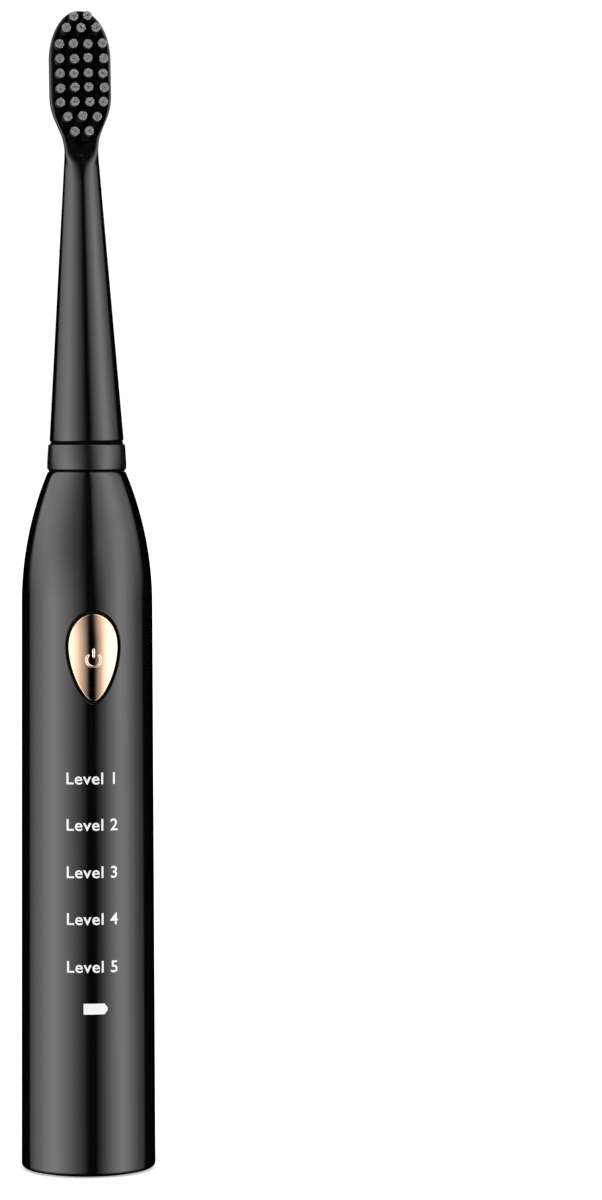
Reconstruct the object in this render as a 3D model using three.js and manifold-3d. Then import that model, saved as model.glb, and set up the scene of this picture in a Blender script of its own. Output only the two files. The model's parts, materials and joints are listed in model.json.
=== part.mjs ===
// A sonic electric toothbrush: a battery handle that stands on its base, and a brush head that
// pulls off its drive shaft. Millimetres, +Z up. The origin is the centre of the foot that the
// handle stands on. The button and the bristles face -Y.
import * as THREE from "three";
import { mergeVertices } from "three/addons/utils/BufferGeometryUtils.js";
import Module from "manifold-3d";

// ---- Driving dimensions ----------------------------------------------------------------

const SIDES = 40; // of the round pieces that show
const INNER = 28; // of the large round pieces inside
const SMALL = 16; // of the small round pieces

// The handle's outside: a tube with a little draft, closed in by one long arc to the neck.
const FOOT_RADIUS = 13.75;
const SHOULDER_RADIUS = 13.35;
const SHOULDER_Z = 116;
const SHOULDER_ARC = 70;
const HANDLE_TOP = 143;
const WALL = 1.5;
const RIM_LIFT = 0.3; // the shell's rim hangs clear, because the base cap is the foot
const RIM_ROUND = 1;
const NECK_HOLE = 6.75;

// The neck: a ring on the nose of the front housing.
const NOSE_RADIUS = 6.6;
const NOSE_TOP = 148.3;
const RING_Z = 143.45;
const RING_HEIGHT = 5.15;
const RING_LAND = 0.08; // what the lands leave free of the handle and of the head

// The brush head, from its own foot.
const HEAD_Z = 149.2;
const HEAD_FOOT = 7.58;
const HEAD_NECK = 3.42;
const NECK_LENGTH = 58.6;
const SOCKET_DEPTH = 23.8;
const SOCKET_MOUTH = 6;
const SOCKET_END = 4.35;
const PLATE_HALF = 6.25;
const PLATE_FRONT = -1.4;
const PLATE_BACK = 3;
const PLATE_ROUND = 0.7;
const PLATE_LOW = 70.3; // where the plate reaches its full width
const PLATE_HIGH = 77.4; // where its top arc starts
const PLATE_ARC = 10;
const RIM = 0.6; // the plate's rim around the bristle field

// The bristle tufts: nine rows, from the neck up.
const TUFT_RADIUS = 0.95;
const TUFT_TIP = -11.4;
const TUFT_PITCH = 2.9;
const TUFT_ROWS = [2, 3, 4, 4, 4, 4, 4, 3, 2];
const FIRST_ROW = 62.8;
const ROW_PITCH = 2.9;
const LAST_ROW = 84.8;

// The power button, from the height where it is widest.
const BUTTON_Z = 108;
const BUTTON_HALF = 5.15;
const BUTTON_UP = 6.5;
const BUTTON_DOWN = 11.1;
const BUTTON_GAP = 0.5;
const BUTTON_PROUD = 0.1;

// The drive: a shaft with a flat for the head, through two bushes.
const SHAFT_RADIUS = 2;
const SHAFT_FLAT = 1.4;
const SHAFT_LOW = 101;
const SHAFT_TOP = 170.5;
const RUNNING = 0.06; // radial clearance of the bushes

// The circuit board stands behind the front wall.
const BOARD_FRONT = -8.9;
const BOARD_THICK = 1;
const BOARD_BACK = BOARD_FRONT + BOARD_THICK;
const BOARD_LOW = 27;
const BOARD_TOP = 119.5;
const BOARD_HALF = 7.3;
const FIT = 0.05; // the gap left between pieces that rest on each other
const LIGHT_TOP = 81.3; // the highest of the five mode lights
const LIGHT_PITCH = 9.55;
const BATTERY_LIGHT = 34.5;

// The motor stands on a cushion above the battery.
const MOTOR_Z = 82;
const MOTOR_RADIUS = 7.7;
const MOTOR_WALL = 0.6;
const MOTOR_HEIGHT = 44.5;
const LEAD_X = 1.2;
const LEAD_Y = -6.2;

// The battery, a 14 mm by 50 mm cell, lies against the back of the inner frame.
const CELL_Y = 3.6;
const CELL_RADIUS = 7;
const CELL_LOW = 21.5;
const CELL_LENGTH = 50;

// ---- Solids -------------------------------------------------------------------------------

const wasm = await Module();
wasm.setup();

// A closed geometry as a solid that can be cut and joined.
function solid(geometry) {
  const bare = geometry.clone();
  bare.deleteAttribute("normal");
  bare.deleteAttribute("uv");
  const merged = mergeVertices(bare, 1e-4);
  return new wasm.Manifold(
    new wasm.Mesh({
      numProp: 3,
      vertProperties: merged.attributes.position.array,
      triVerts: new Uint32Array(merged.index.array),
    }),
  );
}

function geometryOf(made) {
  const mesh = made.getMesh();
  const places = new Float32Array(mesh.numVert * 3);
  for (let i = 0; i < mesh.numVert; i++) {
    for (let k = 0; k < 3; k++) places[3 * i + k] = mesh.vertProperties[mesh.numProp * i + k];
  }
  const geometry = new THREE.BufferGeometry();
  geometry.setAttribute("position", new THREE.BufferAttribute(places, 3));
  geometry.setIndex(new THREE.BufferAttribute(new Uint32Array(mesh.triVerts), 1));
  geometry.computeVertexNormals();
  return geometry;
}

const joined = (first, ...rest) => rest.reduce((whole, next) => whole.add(next), first);
const cut = (first, ...rest) => rest.reduce((whole, next) => whole.subtract(next), first);

// A profile of [radius, height] pairs, turned about Z. It starts and ends on the axis, or it is
// a loop, which is closed here. It runs anticlockwise: out along the bottom, and up the outside.
function turned(profile, sides = SIDES) {
  const points = profile.map(([r, z]) => new THREE.Vector2(r, z));
  if (profile[0][0] > 0) points.push(points[0].clone());
  const geometry = new THREE.LatheGeometry(points, sides);
  return solid(geometry.rotateX(Math.PI / 2));
}

function rod(radius, low, high, sides = SMALL) {
  return turned([[0, low], [radius, low], [radius, high], [0, high]], sides);
}

function tube(inner, outer, low, high, sides = SMALL) {
  return turned([[inner, low], [outer, low], [outer, high], [inner, high]], sides);
}

function block(xs, ys, zs) {
  const geometry = new THREE.BoxGeometry(xs[1] - xs[0], ys[1] - ys[0], zs[1] - zs[0]);
  geometry.translate((xs[0] + xs[1]) / 2, (ys[0] + ys[1]) / 2, (zs[0] + zs[1]) / 2);
  return solid(geometry);
}

// A rod that runs along Y, for what points at the front.
function pin(radius, front, back, x, z, sides = SMALL) {
  const geometry = new THREE.CylinderGeometry(radius, radius, back - front, sides);
  geometry.translate(0, (front + back) / 2, 0);
  return solid(geometry).translate([x, 0, z]);
}

// An outline drawn in X and Z, thickened along Y.
function slab(shape, front, back, round = 0) {
  const geometry = new THREE.ExtrudeGeometry(shape, {
    depth: back - front - 2 * round,
    bevelEnabled: round > 0,
    bevelSize: round,
    bevelThickness: round,
    bevelOffset: -round,
    bevelSegments: 2,
    curveSegments: 10,
  });
  return solid(geometry.rotateX(Math.PI / 2).translate(0, back - round, 0));
}

// An outline drawn in Y and Z, thickened along X.
function sideSlab(points, left, right) {
  const shape = new THREE.Shape(points.map(([y, z]) => new THREE.Vector2(y, z)));
  const geometry = new THREE.ExtrudeGeometry(shape, { depth: right - left, bevelEnabled: false });
  const turn = new THREE.Matrix4().set(0, 0, 1, left, 1, 0, 0, 0, 0, 1, 0, 0, 0, 0, 0, 1);
  return solid(geometry.applyMatrix4(turn));
}

// A ring of round section, such as an O-ring.
function ring(radius, section) {
  return solid(new THREE.TorusGeometry(radius, section, 8, 32));
}

// A round lead through its points.
function lead(points) {
  const path = new THREE.CatmullRomCurve3(points.map(([x, y, z]) => new THREE.Vector3(x, y, z)));
  const section = new THREE.Shape().absarc(0, 0, 0.45, 0, 2 * Math.PI);
  return solid(
    new THREE.ExtrudeGeometry(section, { steps: 12, curveSegments: 4, extrudePath: path }),
  );
}

function steps(from, to, count) {
  return Array.from({ length: count + 1 }, (_, i) => from + ((to - from) * i) / count);
}

// ---- Scene graph --------------------------------------------------------------------------

const root = new THREE.Group();

function assembly(z = 0) {
  const group = new THREE.Group();
  group.position.z = z;
  root.add(group);
  return group;
}

function piece(parent, name, finish, shape, place = [0, 0, 0]) {
  const [color, roughness, metalness] = finish;
  const material = new THREE.MeshStandardMaterial({ color, roughness, metalness });
  const mesh = new THREE.Mesh(geometryOf(shape), material);
  mesh.name = name;
  mesh.position.set(...place);
  parent.add(mesh);
}

// Colour, roughness and metalness of each finish.
const GLOSS_BLACK = [0x0b0b0b, 0.18, 0];
const SATIN_BLACK = [0x101010, 0.4, 0];
const RUBBER_BLACK = [0x0a0a0a, 0.7, 0];
const ROSE_GOLD = [0xd9a184, 0.15, 1];
const STEEL = [0xb8bbbf, 0.3, 1];
const BRONZE = [0x9a7448, 0.4, 1];
const COPPER = [0xb5652f, 0.35, 1];
const NICKEL = [0xc9c4b8, 0.3, 1];
const NYLON_GREY = [0x5c5c5c, 0.6, 0];
const FRAME_WHITE = [0xd8d8d4, 0.5, 0];
const BOARD_GREEN = [0x1e5a38, 0.5, 0];
const CHIP_BLACK = [0x1c1c1c, 0.6, 0];
const LIGHT_WHITE = [0xf1efe2, 0.4, 0];
const CELL_BLUE = [0x2c5f9e, 0.4, 0];
const FOAM_GREY = [0x8a8a88, 0.9, 0];
const LEAD_RED = [0xa8231d, 0.5, 0];
const LEAD_BLACK = [0x161616, 0.5, 0];

// ---- Handle casing --------------------------------------------------------------------------

// The handle's outer radius at a height, less an inset from the surface.
function bodyRadius(z, inset = 0) {
  if (z <= SHOULDER_Z) {
    return FOOT_RADIUS + ((SHOULDER_RADIUS - FOOT_RADIUS) * z) / SHOULDER_Z - inset;
  }
  const rise = z - SHOULDER_Z;
  return SHOULDER_RADIUS - SHOULDER_ARC + Math.sqrt((SHOULDER_ARC - inset) ** 2 - rise ** 2);
}

// The height where the shoulder, at an inset, has closed in to a radius.
function shoulderHeight(radius, inset) {
  const across = radius + SHOULDER_ARC - SHOULDER_RADIUS;
  return SHOULDER_Z + Math.sqrt((SHOULDER_ARC - inset) ** 2 - across ** 2);
}

// The handle's outer form around the button, at an inset from the surface.
function bodyAroundButton(inset) {
  const [low, high] = [80, 122];
  const wall = [low, ...steps(SHOULDER_Z, high, 3)].map((z) => [bodyRadius(z, inset), z]);
  return turned([[0, low], ...wall, [0, high]]);
}

// The button's teardrop, grown evenly. It is widest at height 0.
function teardrop(grow = 0) {
  const half = BUTTON_HALF + grow;
  const down = BUTTON_DOWN + grow;
  const shape = new THREE.Shape();
  shape.absellipse(0, 0, half, BUTTON_UP + grow, 0, Math.PI);
  shape.bezierCurveTo(-half, -0.45 * down, -0.37 * half, -down, 0, -down);
  shape.bezierCurveTo(0.37 * half, -down, half, -0.45 * down, half, 0);
  return shape;
}

function teardropSlab(grow, front, back) {
  return slab(teardrop(grow), front, back).translate([0, 0, BUTTON_Z]);
}

function handleShell() {
  const corner = steps(0, Math.PI / 2, 3).map((a) => [
    FOOT_RADIUS - RIM_ROUND * (1 - Math.sin(a)),
    RIM_LIFT + RIM_ROUND * (1 - Math.cos(a)),
  ]);
  const outside = steps(SHOULDER_Z, HANDLE_TOP - 0.2, 8).map((z) => [bodyRadius(z), z]);
  const lip = shoulderHeight(NECK_HOLE, WALL);
  const inside = steps(lip, SHOULDER_Z, 5).map((z) => [bodyRadius(z, WALL), z]);
  const profile = [
    ...corner,
    ...outside,
    [bodyRadius(HANDLE_TOP) - 0.2, HANDLE_TOP],
    [NECK_HOLE, HANDLE_TOP],
    ...inside,
    [FOOT_RADIUS - WALL, RIM_LIFT],
  ];
  return cut(turned(profile), teardropSlab(BUTTON_GAP, -16, -8));
}

function baseCap() {
  return turned([
    [4.2, 0],
    [11.5, 0],
    [11.9, 0.4],
    [11.9, 5.6],
    [10.5, 5.6],
    [10.5, 7.4],
    [11.9, 7.4],
    [11.9, 11],
    [9.3, 11],
    [9.3, 7.2],
    [3, 7.2],
    [3, 5],
    [4.2, 5],
  ]);
}

// The charging socket: a barrel 3.8 mm wide with a pin in it, held by a flange inside the cap.
function chargingJack() {
  return turned(
    [
      [1.9, 5.1],
      [2.9, 5.1],
      [2.9, 7.3],
      [4.4, 7.3],
      [4.4, 9],
      [3.4, 9],
      [3.4, 13.6],
      [0.75, 13.6],
      [0.75, 12.2],
      [1.9, 12.2],
    ],
    INNER,
  );
}

function jackPin() {
  return turned([[0, 6.4], [0.4, 6.4], [0.65, 6.9], [0.65, 14.2], [0, 14.2]], 12);
}

// The ring has a land at each end, narrower than the ring, which spaces it from its neighbours.
function neckRing() {
  const [landLow, landTop] = [RING_LAND - (RING_Z - HANDLE_TOP), HEAD_Z - RING_Z - RING_LAND];
  return turned([
    [NECK_HOLE, landLow],
    [7.7, landLow],
    [7.7, 0],
    [7.8, 0],
    [8.08, 0.35],
    [8.08, 1.5],
    [7.86, RING_HEIGHT - 0.3],
    [7.6, RING_HEIGHT],
    [7.3, RING_HEIGHT],
    [7.3, landTop],
    [NECK_HOLE, landTop],
  ]);
}

// The front housing: it locates in the shoulder and carries the bush, the seal and the ring.
function noseCone() {
  const clear = WALL + 0.35;
  const flank = (from, to, count) =>
    steps(from, to, count).map((z) => [bodyRadius(z, clear), z]);
  return turned([
    [8.3, 122],
    ...flank(122, 136.7, 3),
    [6.85, 136.7],
    [6.85, 138.3],
    ...flank(138.3, 139.6, 1),
    [NOSE_RADIUS, 140.3],
    [NOSE_RADIUS, NOSE_TOP - 0.2],
    [NOSE_RADIUS - 0.2, NOSE_TOP],
    [4.9, NOSE_TOP],
    [4.9, 139],
    [2.7, 139],
    [2.7, 136.3],
    [3.6, 136.3],
    [3.6, 131],
    [2.7, 131],
    [2.7, 128.5],
    [8.3, 128.5],
  ], INNER);
}

// The shaft seal: a soft plug in the nose, with a cone that closes on the shaft.
function shaftSeal() {
  const bore = SHAFT_RADIUS + 0.1;
  return turned(
    [
      [bore, 139.1],
      [4.8, 139.1],
      [4.8, 148],
      [3.9, 148.5],
      [2.9, 150.4],
      [2.6, 150.8],
      [bore, 150.8],
    ],
    INNER,
  );
}

function bush(height) {
  return tube(SHAFT_RADIUS + RUNNING, 3.5, 0, height, INNER);
}

const casing = assembly();
piece(casing, "handle_shell", GLOSS_BLACK, handleShell());
piece(casing, "base_cap", SATIN_BLACK, baseCap());
piece(casing, "base_o_ring", RUBBER_BLACK, ring(11.35, 0.65), [0, 0, 6.5]);
piece(casing, "charging_jack", SATIN_BLACK, chargingJack());
piece(casing, "jack_pin", NICKEL, jackPin());
piece(casing, "neck_ring", SATIN_BLACK, neckRing(), [0, 0, RING_Z]);
piece(casing, "nose_cone", SATIN_BLACK, noseCone());
piece(casing, "nose_o_ring", RUBBER_BLACK, ring(7.6, 0.6), [0, 0, 137.5]);
piece(casing, "shaft_seal", RUBBER_BLACK, shaftSeal());
piece(casing, "front_bush", BRONZE, bush(5), [0, 0, 131.15]);

// ---- Power button ---------------------------------------------------------------------------

function powerButton() {
  return teardropSlab(0, -16, -11.95).intersect(bodyAroundButton(-BUTTON_PROUD));
}

// The membrane behind the button: a curved flange, a rim in the gap, and a nub for the switch.
function buttonMembrane() {
  const flangeBack = WALL + 0.8;
  const layer = (outer, inner) => cut(bodyAroundButton(outer), bodyAroundButton(inner));
  const flange = teardropSlab(1.2, -16, 0).intersect(layer(WALL + 0.1, flangeBack));
  const band = cut(teardropSlab(0.42, -16, 0), teardropSlab(0.12, -17, 1));
  const rim = band.intersect(layer(0.6, WALL + 0.4));
  return joined(flange, rim, pin(1.6, -11.3, -10.65, 0, BUTTON_Z));
}

const button = assembly();
piece(button, "power_button", ROSE_GOLD, powerButton());
piece(button, "button_membrane", RUBBER_BLACK, buttonMembrane());

// ---- Electronics ----------------------------------------------------------------------------

const SCREW_X = 5.8;
const SCREW_HEIGHTS = [29.4, 117.4];
const SCREW_PLACES = SCREW_HEIGHTS.flatMap((z) => [-SCREW_X, SCREW_X].map((x) => [x, z]));
const LIGHT_HEIGHTS = steps(LIGHT_TOP, LIGHT_TOP - 4 * LIGHT_PITCH, 4);

function circuitBoard() {
  const board = block(
    [-BOARD_HALF, BOARD_HALF],
    [BOARD_FRONT, BOARD_BACK],
    [BOARD_LOW, BOARD_TOP],
  );
  return cut(
    board,
    ...SCREW_PLACES.map(([x, z]) => pin(0.75, BOARD_FRONT - 1, BOARD_BACK + 1, x, z, 12)),
  );
}

// A part soldered to the board's front, from its face outwards.
function onBoard(width, height, thickness, x, z) {
  const face = BOARD_FRONT - FIT;
  return block([x - width / 2, x + width / 2], [face - thickness, face], [z - height / 2, z + height / 2]);
}

function switchBody() {
  return cut(onBoard(6, 6, 1.15, 0, BUTTON_Z), pin(1.75, -11, -9.1, 0, BUTTON_Z));
}

// The light baffle: one well for each light, so that a lit mode doesn't light its neighbours.
function lightBaffle() {
  const [low, high] = [31.2, 85.2];
  const body = block([-5.6, 5.6], [-12, BOARD_FRONT - FIT], [low, high]).intersect(
    rod(11.5, low - 1, high + 1, INNER),
  );
  const well = (z, half) => block([-half, half], [-13, -8], [z - 1.9, z + 1.9]);
  return cut(body, ...LIGHT_HEIGHTS.map((z) => well(z, 4.6)), well(BATTERY_LIGHT, 3));
}

function diffuserFilm() {
  const [low, high] = [31.2, 85.2];
  return block([-5.6, 5.6], [-13, -8], [low, high]).intersect(tube(11.55, 11.8, low, high, INNER));
}

function boardScrew() {
  const head = pin(0.95, BOARD_FRONT - 0.65, BOARD_FRONT - FIT, 0, 0, 12);
  const shank = pin(0.6, BOARD_FRONT - 0.4, BOARD_BACK + 1.2, 0, 0, 12);
  const slot = block([-1, 1], [BOARD_FRONT - 1, BOARD_FRONT - 0.4], [-0.15, 0.15]);
  return cut(joined(head, shank), slot);
}

const electronics = assembly();
piece(electronics, "circuit_board", BOARD_GREEN, circuitBoard());
piece(electronics, "controller_chip", CHIP_BLACK, onBoard(5, 5, 0.9, 0, 93));
piece(electronics, "capacitor", NICKEL, pin(2, -9.9, BOARD_FRONT - FIT, 4.4, 98.4, 12));
piece(
  electronics,
  "driver_chip",
  CHIP_BLACK,
  block([-2.5, 2.5], [BOARD_BACK + FIT, BOARD_BACK + 1.5], [47, 53]),
);
piece(electronics, "switch_body", CHIP_BLACK, switchBody());
piece(electronics, "switch_plunger", FRAME_WHITE, pin(1.6, -10.6, -9.6, 0, BUTTON_Z));
LIGHT_HEIGHTS.forEach((z, i) => {
  piece(electronics, `mode_light_${i + 1}`, LIGHT_WHITE, onBoard(2.8, 1.9, 0.7, 0, z));
});
piece(electronics, "battery_light", LIGHT_WHITE, onBoard(2.8, 1.9, 0.7, 0, BATTERY_LIGHT));
piece(electronics, "light_baffle", FRAME_WHITE, lightBaffle());
piece(electronics, "diffuser_film", LIGHT_WHITE, diffuserFilm());
SCREW_PLACES.forEach(([x, z], i) => {
  piece(electronics, `board_screw_${i + 1}`, STEEL, boardScrew(), [x, 0, z]);
});

// ---- Inner frame and battery --------------------------------------------------------------

const FRAME_LOW = 14;
const FRAME_TOP = 121;
const RAIL_FRONT = BOARD_BACK + 0.1;
const LEAD_PLACES = [-LEAD_X, LEAD_X];
const CHARGE_X = 2.5;

// A rod along Z that stands away from the axis.
const post = (radius, low, high, x, y) => rod(radius, low, high, 16).translate([x, y, 0]);

// The frame slides in from below: a trough with rails for the board and floors for what it carries.
function innerFrame() {
  const trough = tube(10.75, 11.45, FRAME_LOW, FRAME_TOP, INNER);
  const floor = (low, high) => rod(11, low, high, INNER);
  const collar = tube(MOTOR_RADIUS + 0.4, 11, 116, 119, INNER);
  const rails = [-1, 1].map((side) =>
    block(
      side < 0 ? [-8.5, -4.9] : [4.9, 8.5],
      [RAIL_FRONT, RAIL_FRONT + 1],
      [BOARD_LOW, BOARD_TOP],
    ),
  );
  const whole = joined(trough, floor(16.5, 18.5), floor(76.6, 79.4), collar, ...rails);
  return cut(
    whole,
    block([-14, 14], [-14, RAIL_FRONT], [0, 150]),
    ...SCREW_PLACES.map(([x, z]) => pin(0.7, RAIL_FRONT - 1, RAIL_FRONT + 2, x, z, 12)),
    ...LEAD_PLACES.map((x) => post(0.75, 75, 81, x, LEAD_Y)),
    ...[-CHARGE_X, CHARGE_X].map((x) => post(0.95, 15, 20, x, -5.5)),
  );
}

function batteryCell() {
  const top = CELL_LENGTH;
  return turned(
    [
      [0, 0],
      [CELL_RADIUS - 0.4, 0],
      [CELL_RADIUS, 0.4],
      [CELL_RADIUS, top - 0.4],
      [CELL_RADIUS - 0.4, top],
      [2.7, top],
      [2.7, top + 1],
      [0, top + 1],
    ],
    INNER,
  );
}

// A nickel strip across one end of the cell, bent over towards the board.
function cellTab(z, bend) {
  const [thick, front] = [0.25, -5];
  const low = Math.min(z, z + bend);
  const high = Math.max(z, z + bend) + thick;
  const across = block([-2, 2], [front, 5.5], [z, z + thick]);
  return joined(across, block([-2, 2], [front - thick, front + 0.01], [low, high]));
}

const power = assembly();
piece(power, "inner_frame", FRAME_WHITE, innerFrame());
piece(power, "battery_cell", CELL_BLUE, batteryCell(), [0, CELL_Y, CELL_LOW]);
piece(power, "battery_tab_top", NICKEL, cellTab(72.65, -3.5));
piece(power, "battery_tab_foot", NICKEL, cellTab(21.1, 3.5));
piece(power, "battery_pad_top", FOAM_GREY, rod(6, 73, 76.4), [0, CELL_Y, 0]);
piece(power, "battery_pad_foot", FOAM_GREY, rod(6, 18.6, 21), [0, CELL_Y, 0]);

// ---- Motor ------------------------------------------------------------------------------------

// The frame of the motor: a steel can with side windows, and a seat for the rear bush.
function motorFrame() {
  const inner = MOTOR_RADIUS - MOTOR_WALL;
  return cut(
    rod(MOTOR_RADIUS, 0, MOTOR_HEIGHT, INNER),
    rod(inner, 1.5, MOTOR_HEIGHT - 4, INNER),
    rod(3.6, MOTOR_HEIGHT - 5, MOTOR_HEIGHT + 1),
    block([-9, 9], [-2.5, 2.5], [18, 38]),
    ...LEAD_PLACES.map((x) => post(0.75, -1, 2, x, LEAD_Y)),
  );
}

function motorCushion() {
  return cut(rod(MOTOR_RADIUS, 0, 2.3, INNER), ...LEAD_PLACES.map((x) => post(0.75, -1, 3, x, LEAD_Y)));
}

// The laminated core: an E on its back, with its pole faces up.
function statorCore() {
  const [half, foot, top] = [6.3, 2, 15];
  return cut(
    block([-half, half], [-2.9, 2.9], [foot, top]),
    block([-4.2, -1.5], [-4, 4], [5, top + 1]),
    block([1.5, 4.2], [-4, 4], [5, top + 1]),
  );
}

function coilBobbin() {
  const flange = (low, high) => block([-3.9, 3.9], [-5.7, 5.7], [low, high]);
  return cut(
    joined(flange(5.2, 5.9), flange(13.6, 14.3), block([-2.1, 2.1], [-3.6, 3.6], [5.5, 14])),
    block([-1.6, 1.6], [-3.1, 3.1], [0, 20]),
  );
}

function statorCoil() {
  const [halfX, halfY, corner] = [3.8, 5.6, 1.2];
  const outline = new THREE.Shape();
  outline.absarc(halfX - corner, halfY - corner, corner, 0, Math.PI / 2);
  outline.absarc(corner - halfX, halfY - corner, corner, Math.PI / 2, Math.PI);
  outline.absarc(corner - halfX, corner - halfY, corner, Math.PI, 1.5 * Math.PI);
  outline.absarc(halfX - corner, corner - halfY, corner, 1.5 * Math.PI, 2 * Math.PI);
  const winding = new THREE.ExtrudeGeometry(outline, {
    depth: 7.5,
    bevelEnabled: false,
    curveSegments: 4,
  });
  return cut(solid(winding.translate(0, 0, 6)), block([-2.15, 2.15], [-3.65, 3.65], [0, 20]));
}

// The torsion spring: two blades between a ring held by the can and a ring over the magnets.
function torsionSpring() {
  const blades = [-5.4, 4.9].map((x) => block([x, x + 0.5], [-1.6, 1.6], [27.6, 39.8]));
  return joined(tube(2.6, 5.6, 27, 28.2), tube(2.6, 6.9, 39.2, 40.4), ...blades);
}

const motor = assembly(MOTOR_Z);
piece(motor, "motor_frame", STEEL, motorFrame());
piece(motor, "motor_cushion", RUBBER_BLACK, motorCushion(), [0, 0, -2.45]);
piece(motor, "stator_core", STEEL, statorCore());
piece(motor, "coil_bobbin", CHIP_BLACK, coilBobbin());
piece(motor, "stator_coil", COPPER, statorCoil());
piece(motor, "torsion_spring", STEEL, torsionSpring());
piece(motor, "rear_bush", BRONZE, bush(3.6), [0, 0, MOTOR_HEIGHT - 3.8]);

// ---- Drive --------------------------------------------------------------------------------------

function driveShaft() {
  const shaft = turned(
    [
      [0, SHAFT_LOW],
      [SHAFT_RADIUS, SHAFT_LOW],
      [SHAFT_RADIUS, SHAFT_TOP - 0.5],
      [SHAFT_RADIUS - 0.5, SHAFT_TOP],
      [0, SHAFT_TOP],
    ],
    INNER,
  );
  return cut(shaft, block([-3, 3], [SHAFT_FLAT, 3], [151.5, 180]));
}

// The carrier holds two magnets over the core's poles.
function magnetCarrier() {
  const hub = rod(3.4, 105, 108.5);
  const body = block([-5, 5], [-2.9, 2.9], [100.05, 106]);
  return cut(joined(body, hub), rod(SHAFT_RADIUS + 0.08, SHAFT_LOW - 0.1, 110, INNER));
}

const drive = assembly();
piece(drive, "drive_shaft", STEEL, driveShaft());
piece(drive, "magnet_carrier", STEEL, magnetCarrier());
[["left", [-4.9, -0.9]], ["right", [0.9, 4.9]]].forEach(([side, xs]) => {
  piece(drive, `magnet_${side}`, NICKEL, block(xs, [-2.8, 2.8], [97.5, 100]));
});

// ---- Leads ----------------------------------------------------------------------------------------

const leads = assembly();
const END_Y = BOARD_BACK + 0.55; // where a lead is soldered to the back of the board
[[-1, "a", LEAD_BLACK], [1, "b", LEAD_RED]].forEach(([side, label, finish]) => {
  const x = side * LEAD_X;
  const fromCoil = [
    [x, -6.3, 91],
    [x, LEAD_Y, 86],
    [x, LEAD_Y, 80],
    [x, LEAD_Y, 75],
    [x, -6.9, 71],
    [x, END_Y, 67],
  ];
  piece(leads, `motor_lead_${label}`, finish, lead(fromCoil));
  const fromJack = [
    [side * 2.1, -1.2, 14.4],
    [side * 2.3, -3.4, 14.6],
    [side * CHARGE_X, -5.3, 15.8],
    [side * CHARGE_X, -5.5, 18],
    [side * CHARGE_X, -6.3, 22],
    [side * CHARGE_X, END_Y, 29],
  ];
  piece(leads, `charge_lead_${label}`, finish, lead(fromJack));
});
const fromTop = [[3, -5.8, 70.5], [3.1, -6.3, 67], [3.2, -6.9, 63], [3.2, END_Y, 59]];
piece(leads, "battery_lead_top", LEAD_RED, lead(fromTop));
const fromFoot = [[0, -5.8, 23], [0, -6.2, 27], [0, -6.9, 31], [0, END_Y, 35]];
piece(leads, "battery_lead_foot", LEAD_BLACK, lead(fromFoot));

// ---- Brush head -----------------------------------------------------------------------------------

// The head's outline from the front: an oval plate that runs down into the neck.
function plateOutline() {
  const [neckHalf, neckTop] = [3.3, NECK_LENGTH];
  const shape = new THREE.Shape();
  shape.moveTo(2.4, neckTop - 5);
  shape.lineTo(neckHalf, neckTop);
  shape.bezierCurveTo(neckHalf, neckTop + 5, PLATE_HALF, PLATE_LOW - 5.3, PLATE_HALF, PLATE_LOW);
  shape.lineTo(PLATE_HALF, PLATE_HIGH);
  shape.absellipse(0, PLATE_HIGH, PLATE_HALF, PLATE_ARC, 0, Math.PI);
  shape.lineTo(-PLATE_HALF, PLATE_LOW);
  shape.bezierCurveTo(-PLATE_HALF, PLATE_LOW - 5.3, -neckHalf, neckTop + 5, -neckHalf, neckTop);
  shape.lineTo(-2.4, neckTop - 5);
  return shape;
}

// The oval field that the tufts stand in, inset from the plate's edge.
function tuftField(inset) {
  const half = PLATE_HALF - inset;
  const shape = new THREE.Shape();
  shape.absellipse(0, PLATE_HIGH, half, PLATE_ARC - inset, 0, Math.PI);
  shape.lineTo(-half, PLATE_LOW);
  shape.absellipse(0, PLATE_LOW, half, PLATE_ARC + 0.6 - inset, Math.PI, 2 * Math.PI);
  return shape;
}

// The neck is a long cone with a hollow for the drive, and its front slopes back to the plate.
function headShell() {
  const neck = turned([
    [0, SOCKET_DEPTH],
    [SOCKET_END, SOCKET_DEPTH],
    [SOCKET_MOUTH, 0],
    [HEAD_FOOT - 0.25, 0],
    [HEAD_FOOT, 0.25],
    [HEAD_NECK, NECK_LENGTH],
    [HEAD_NECK - 0.2, NECK_LENGTH + 2.4],
    [0, NECK_LENGTH + 2.4],
  ]);
  const slope = sideSlab([[-9, 51.5], [-4.3, 53], [PLATE_FRONT, 62], [PLATE_FRONT, 90], [-9, 90]], -8, 8);
  const plate = slab(plateOutline(), PLATE_FRONT, PLATE_BACK, PLATE_ROUND);
  const pocket = slab(tuftField(RIM), PLATE_FRONT - 1, PLATE_FRONT + 0.9);
  return cut(joined(cut(neck, slope), plate), pocket);
}

// The tufts stand on the sheet that their folded ends are fused into, in the plate's pocket.
function bristleBlock() {
  const sheet = slab(tuftField(RIM + 0.06), PLATE_FRONT + 0.1, PLATE_FRONT + 0.85);
  const last = TUFT_ROWS.length - 1;
  const tufts = TUFT_ROWS.flatMap((count, row) =>
    steps(-(count - 1) / 2, (count - 1) / 2, count - 1).map((across) =>
      pin(
        TUFT_RADIUS,
        TUFT_TIP,
        PLATE_FRONT + 0.4,
        across * TUFT_PITCH,
        row === last ? LAST_ROW : FIRST_ROW + row * ROW_PITCH,
        7,
      ),
    ),
  );
  return joined(sheet, ...tufts);
}

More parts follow.
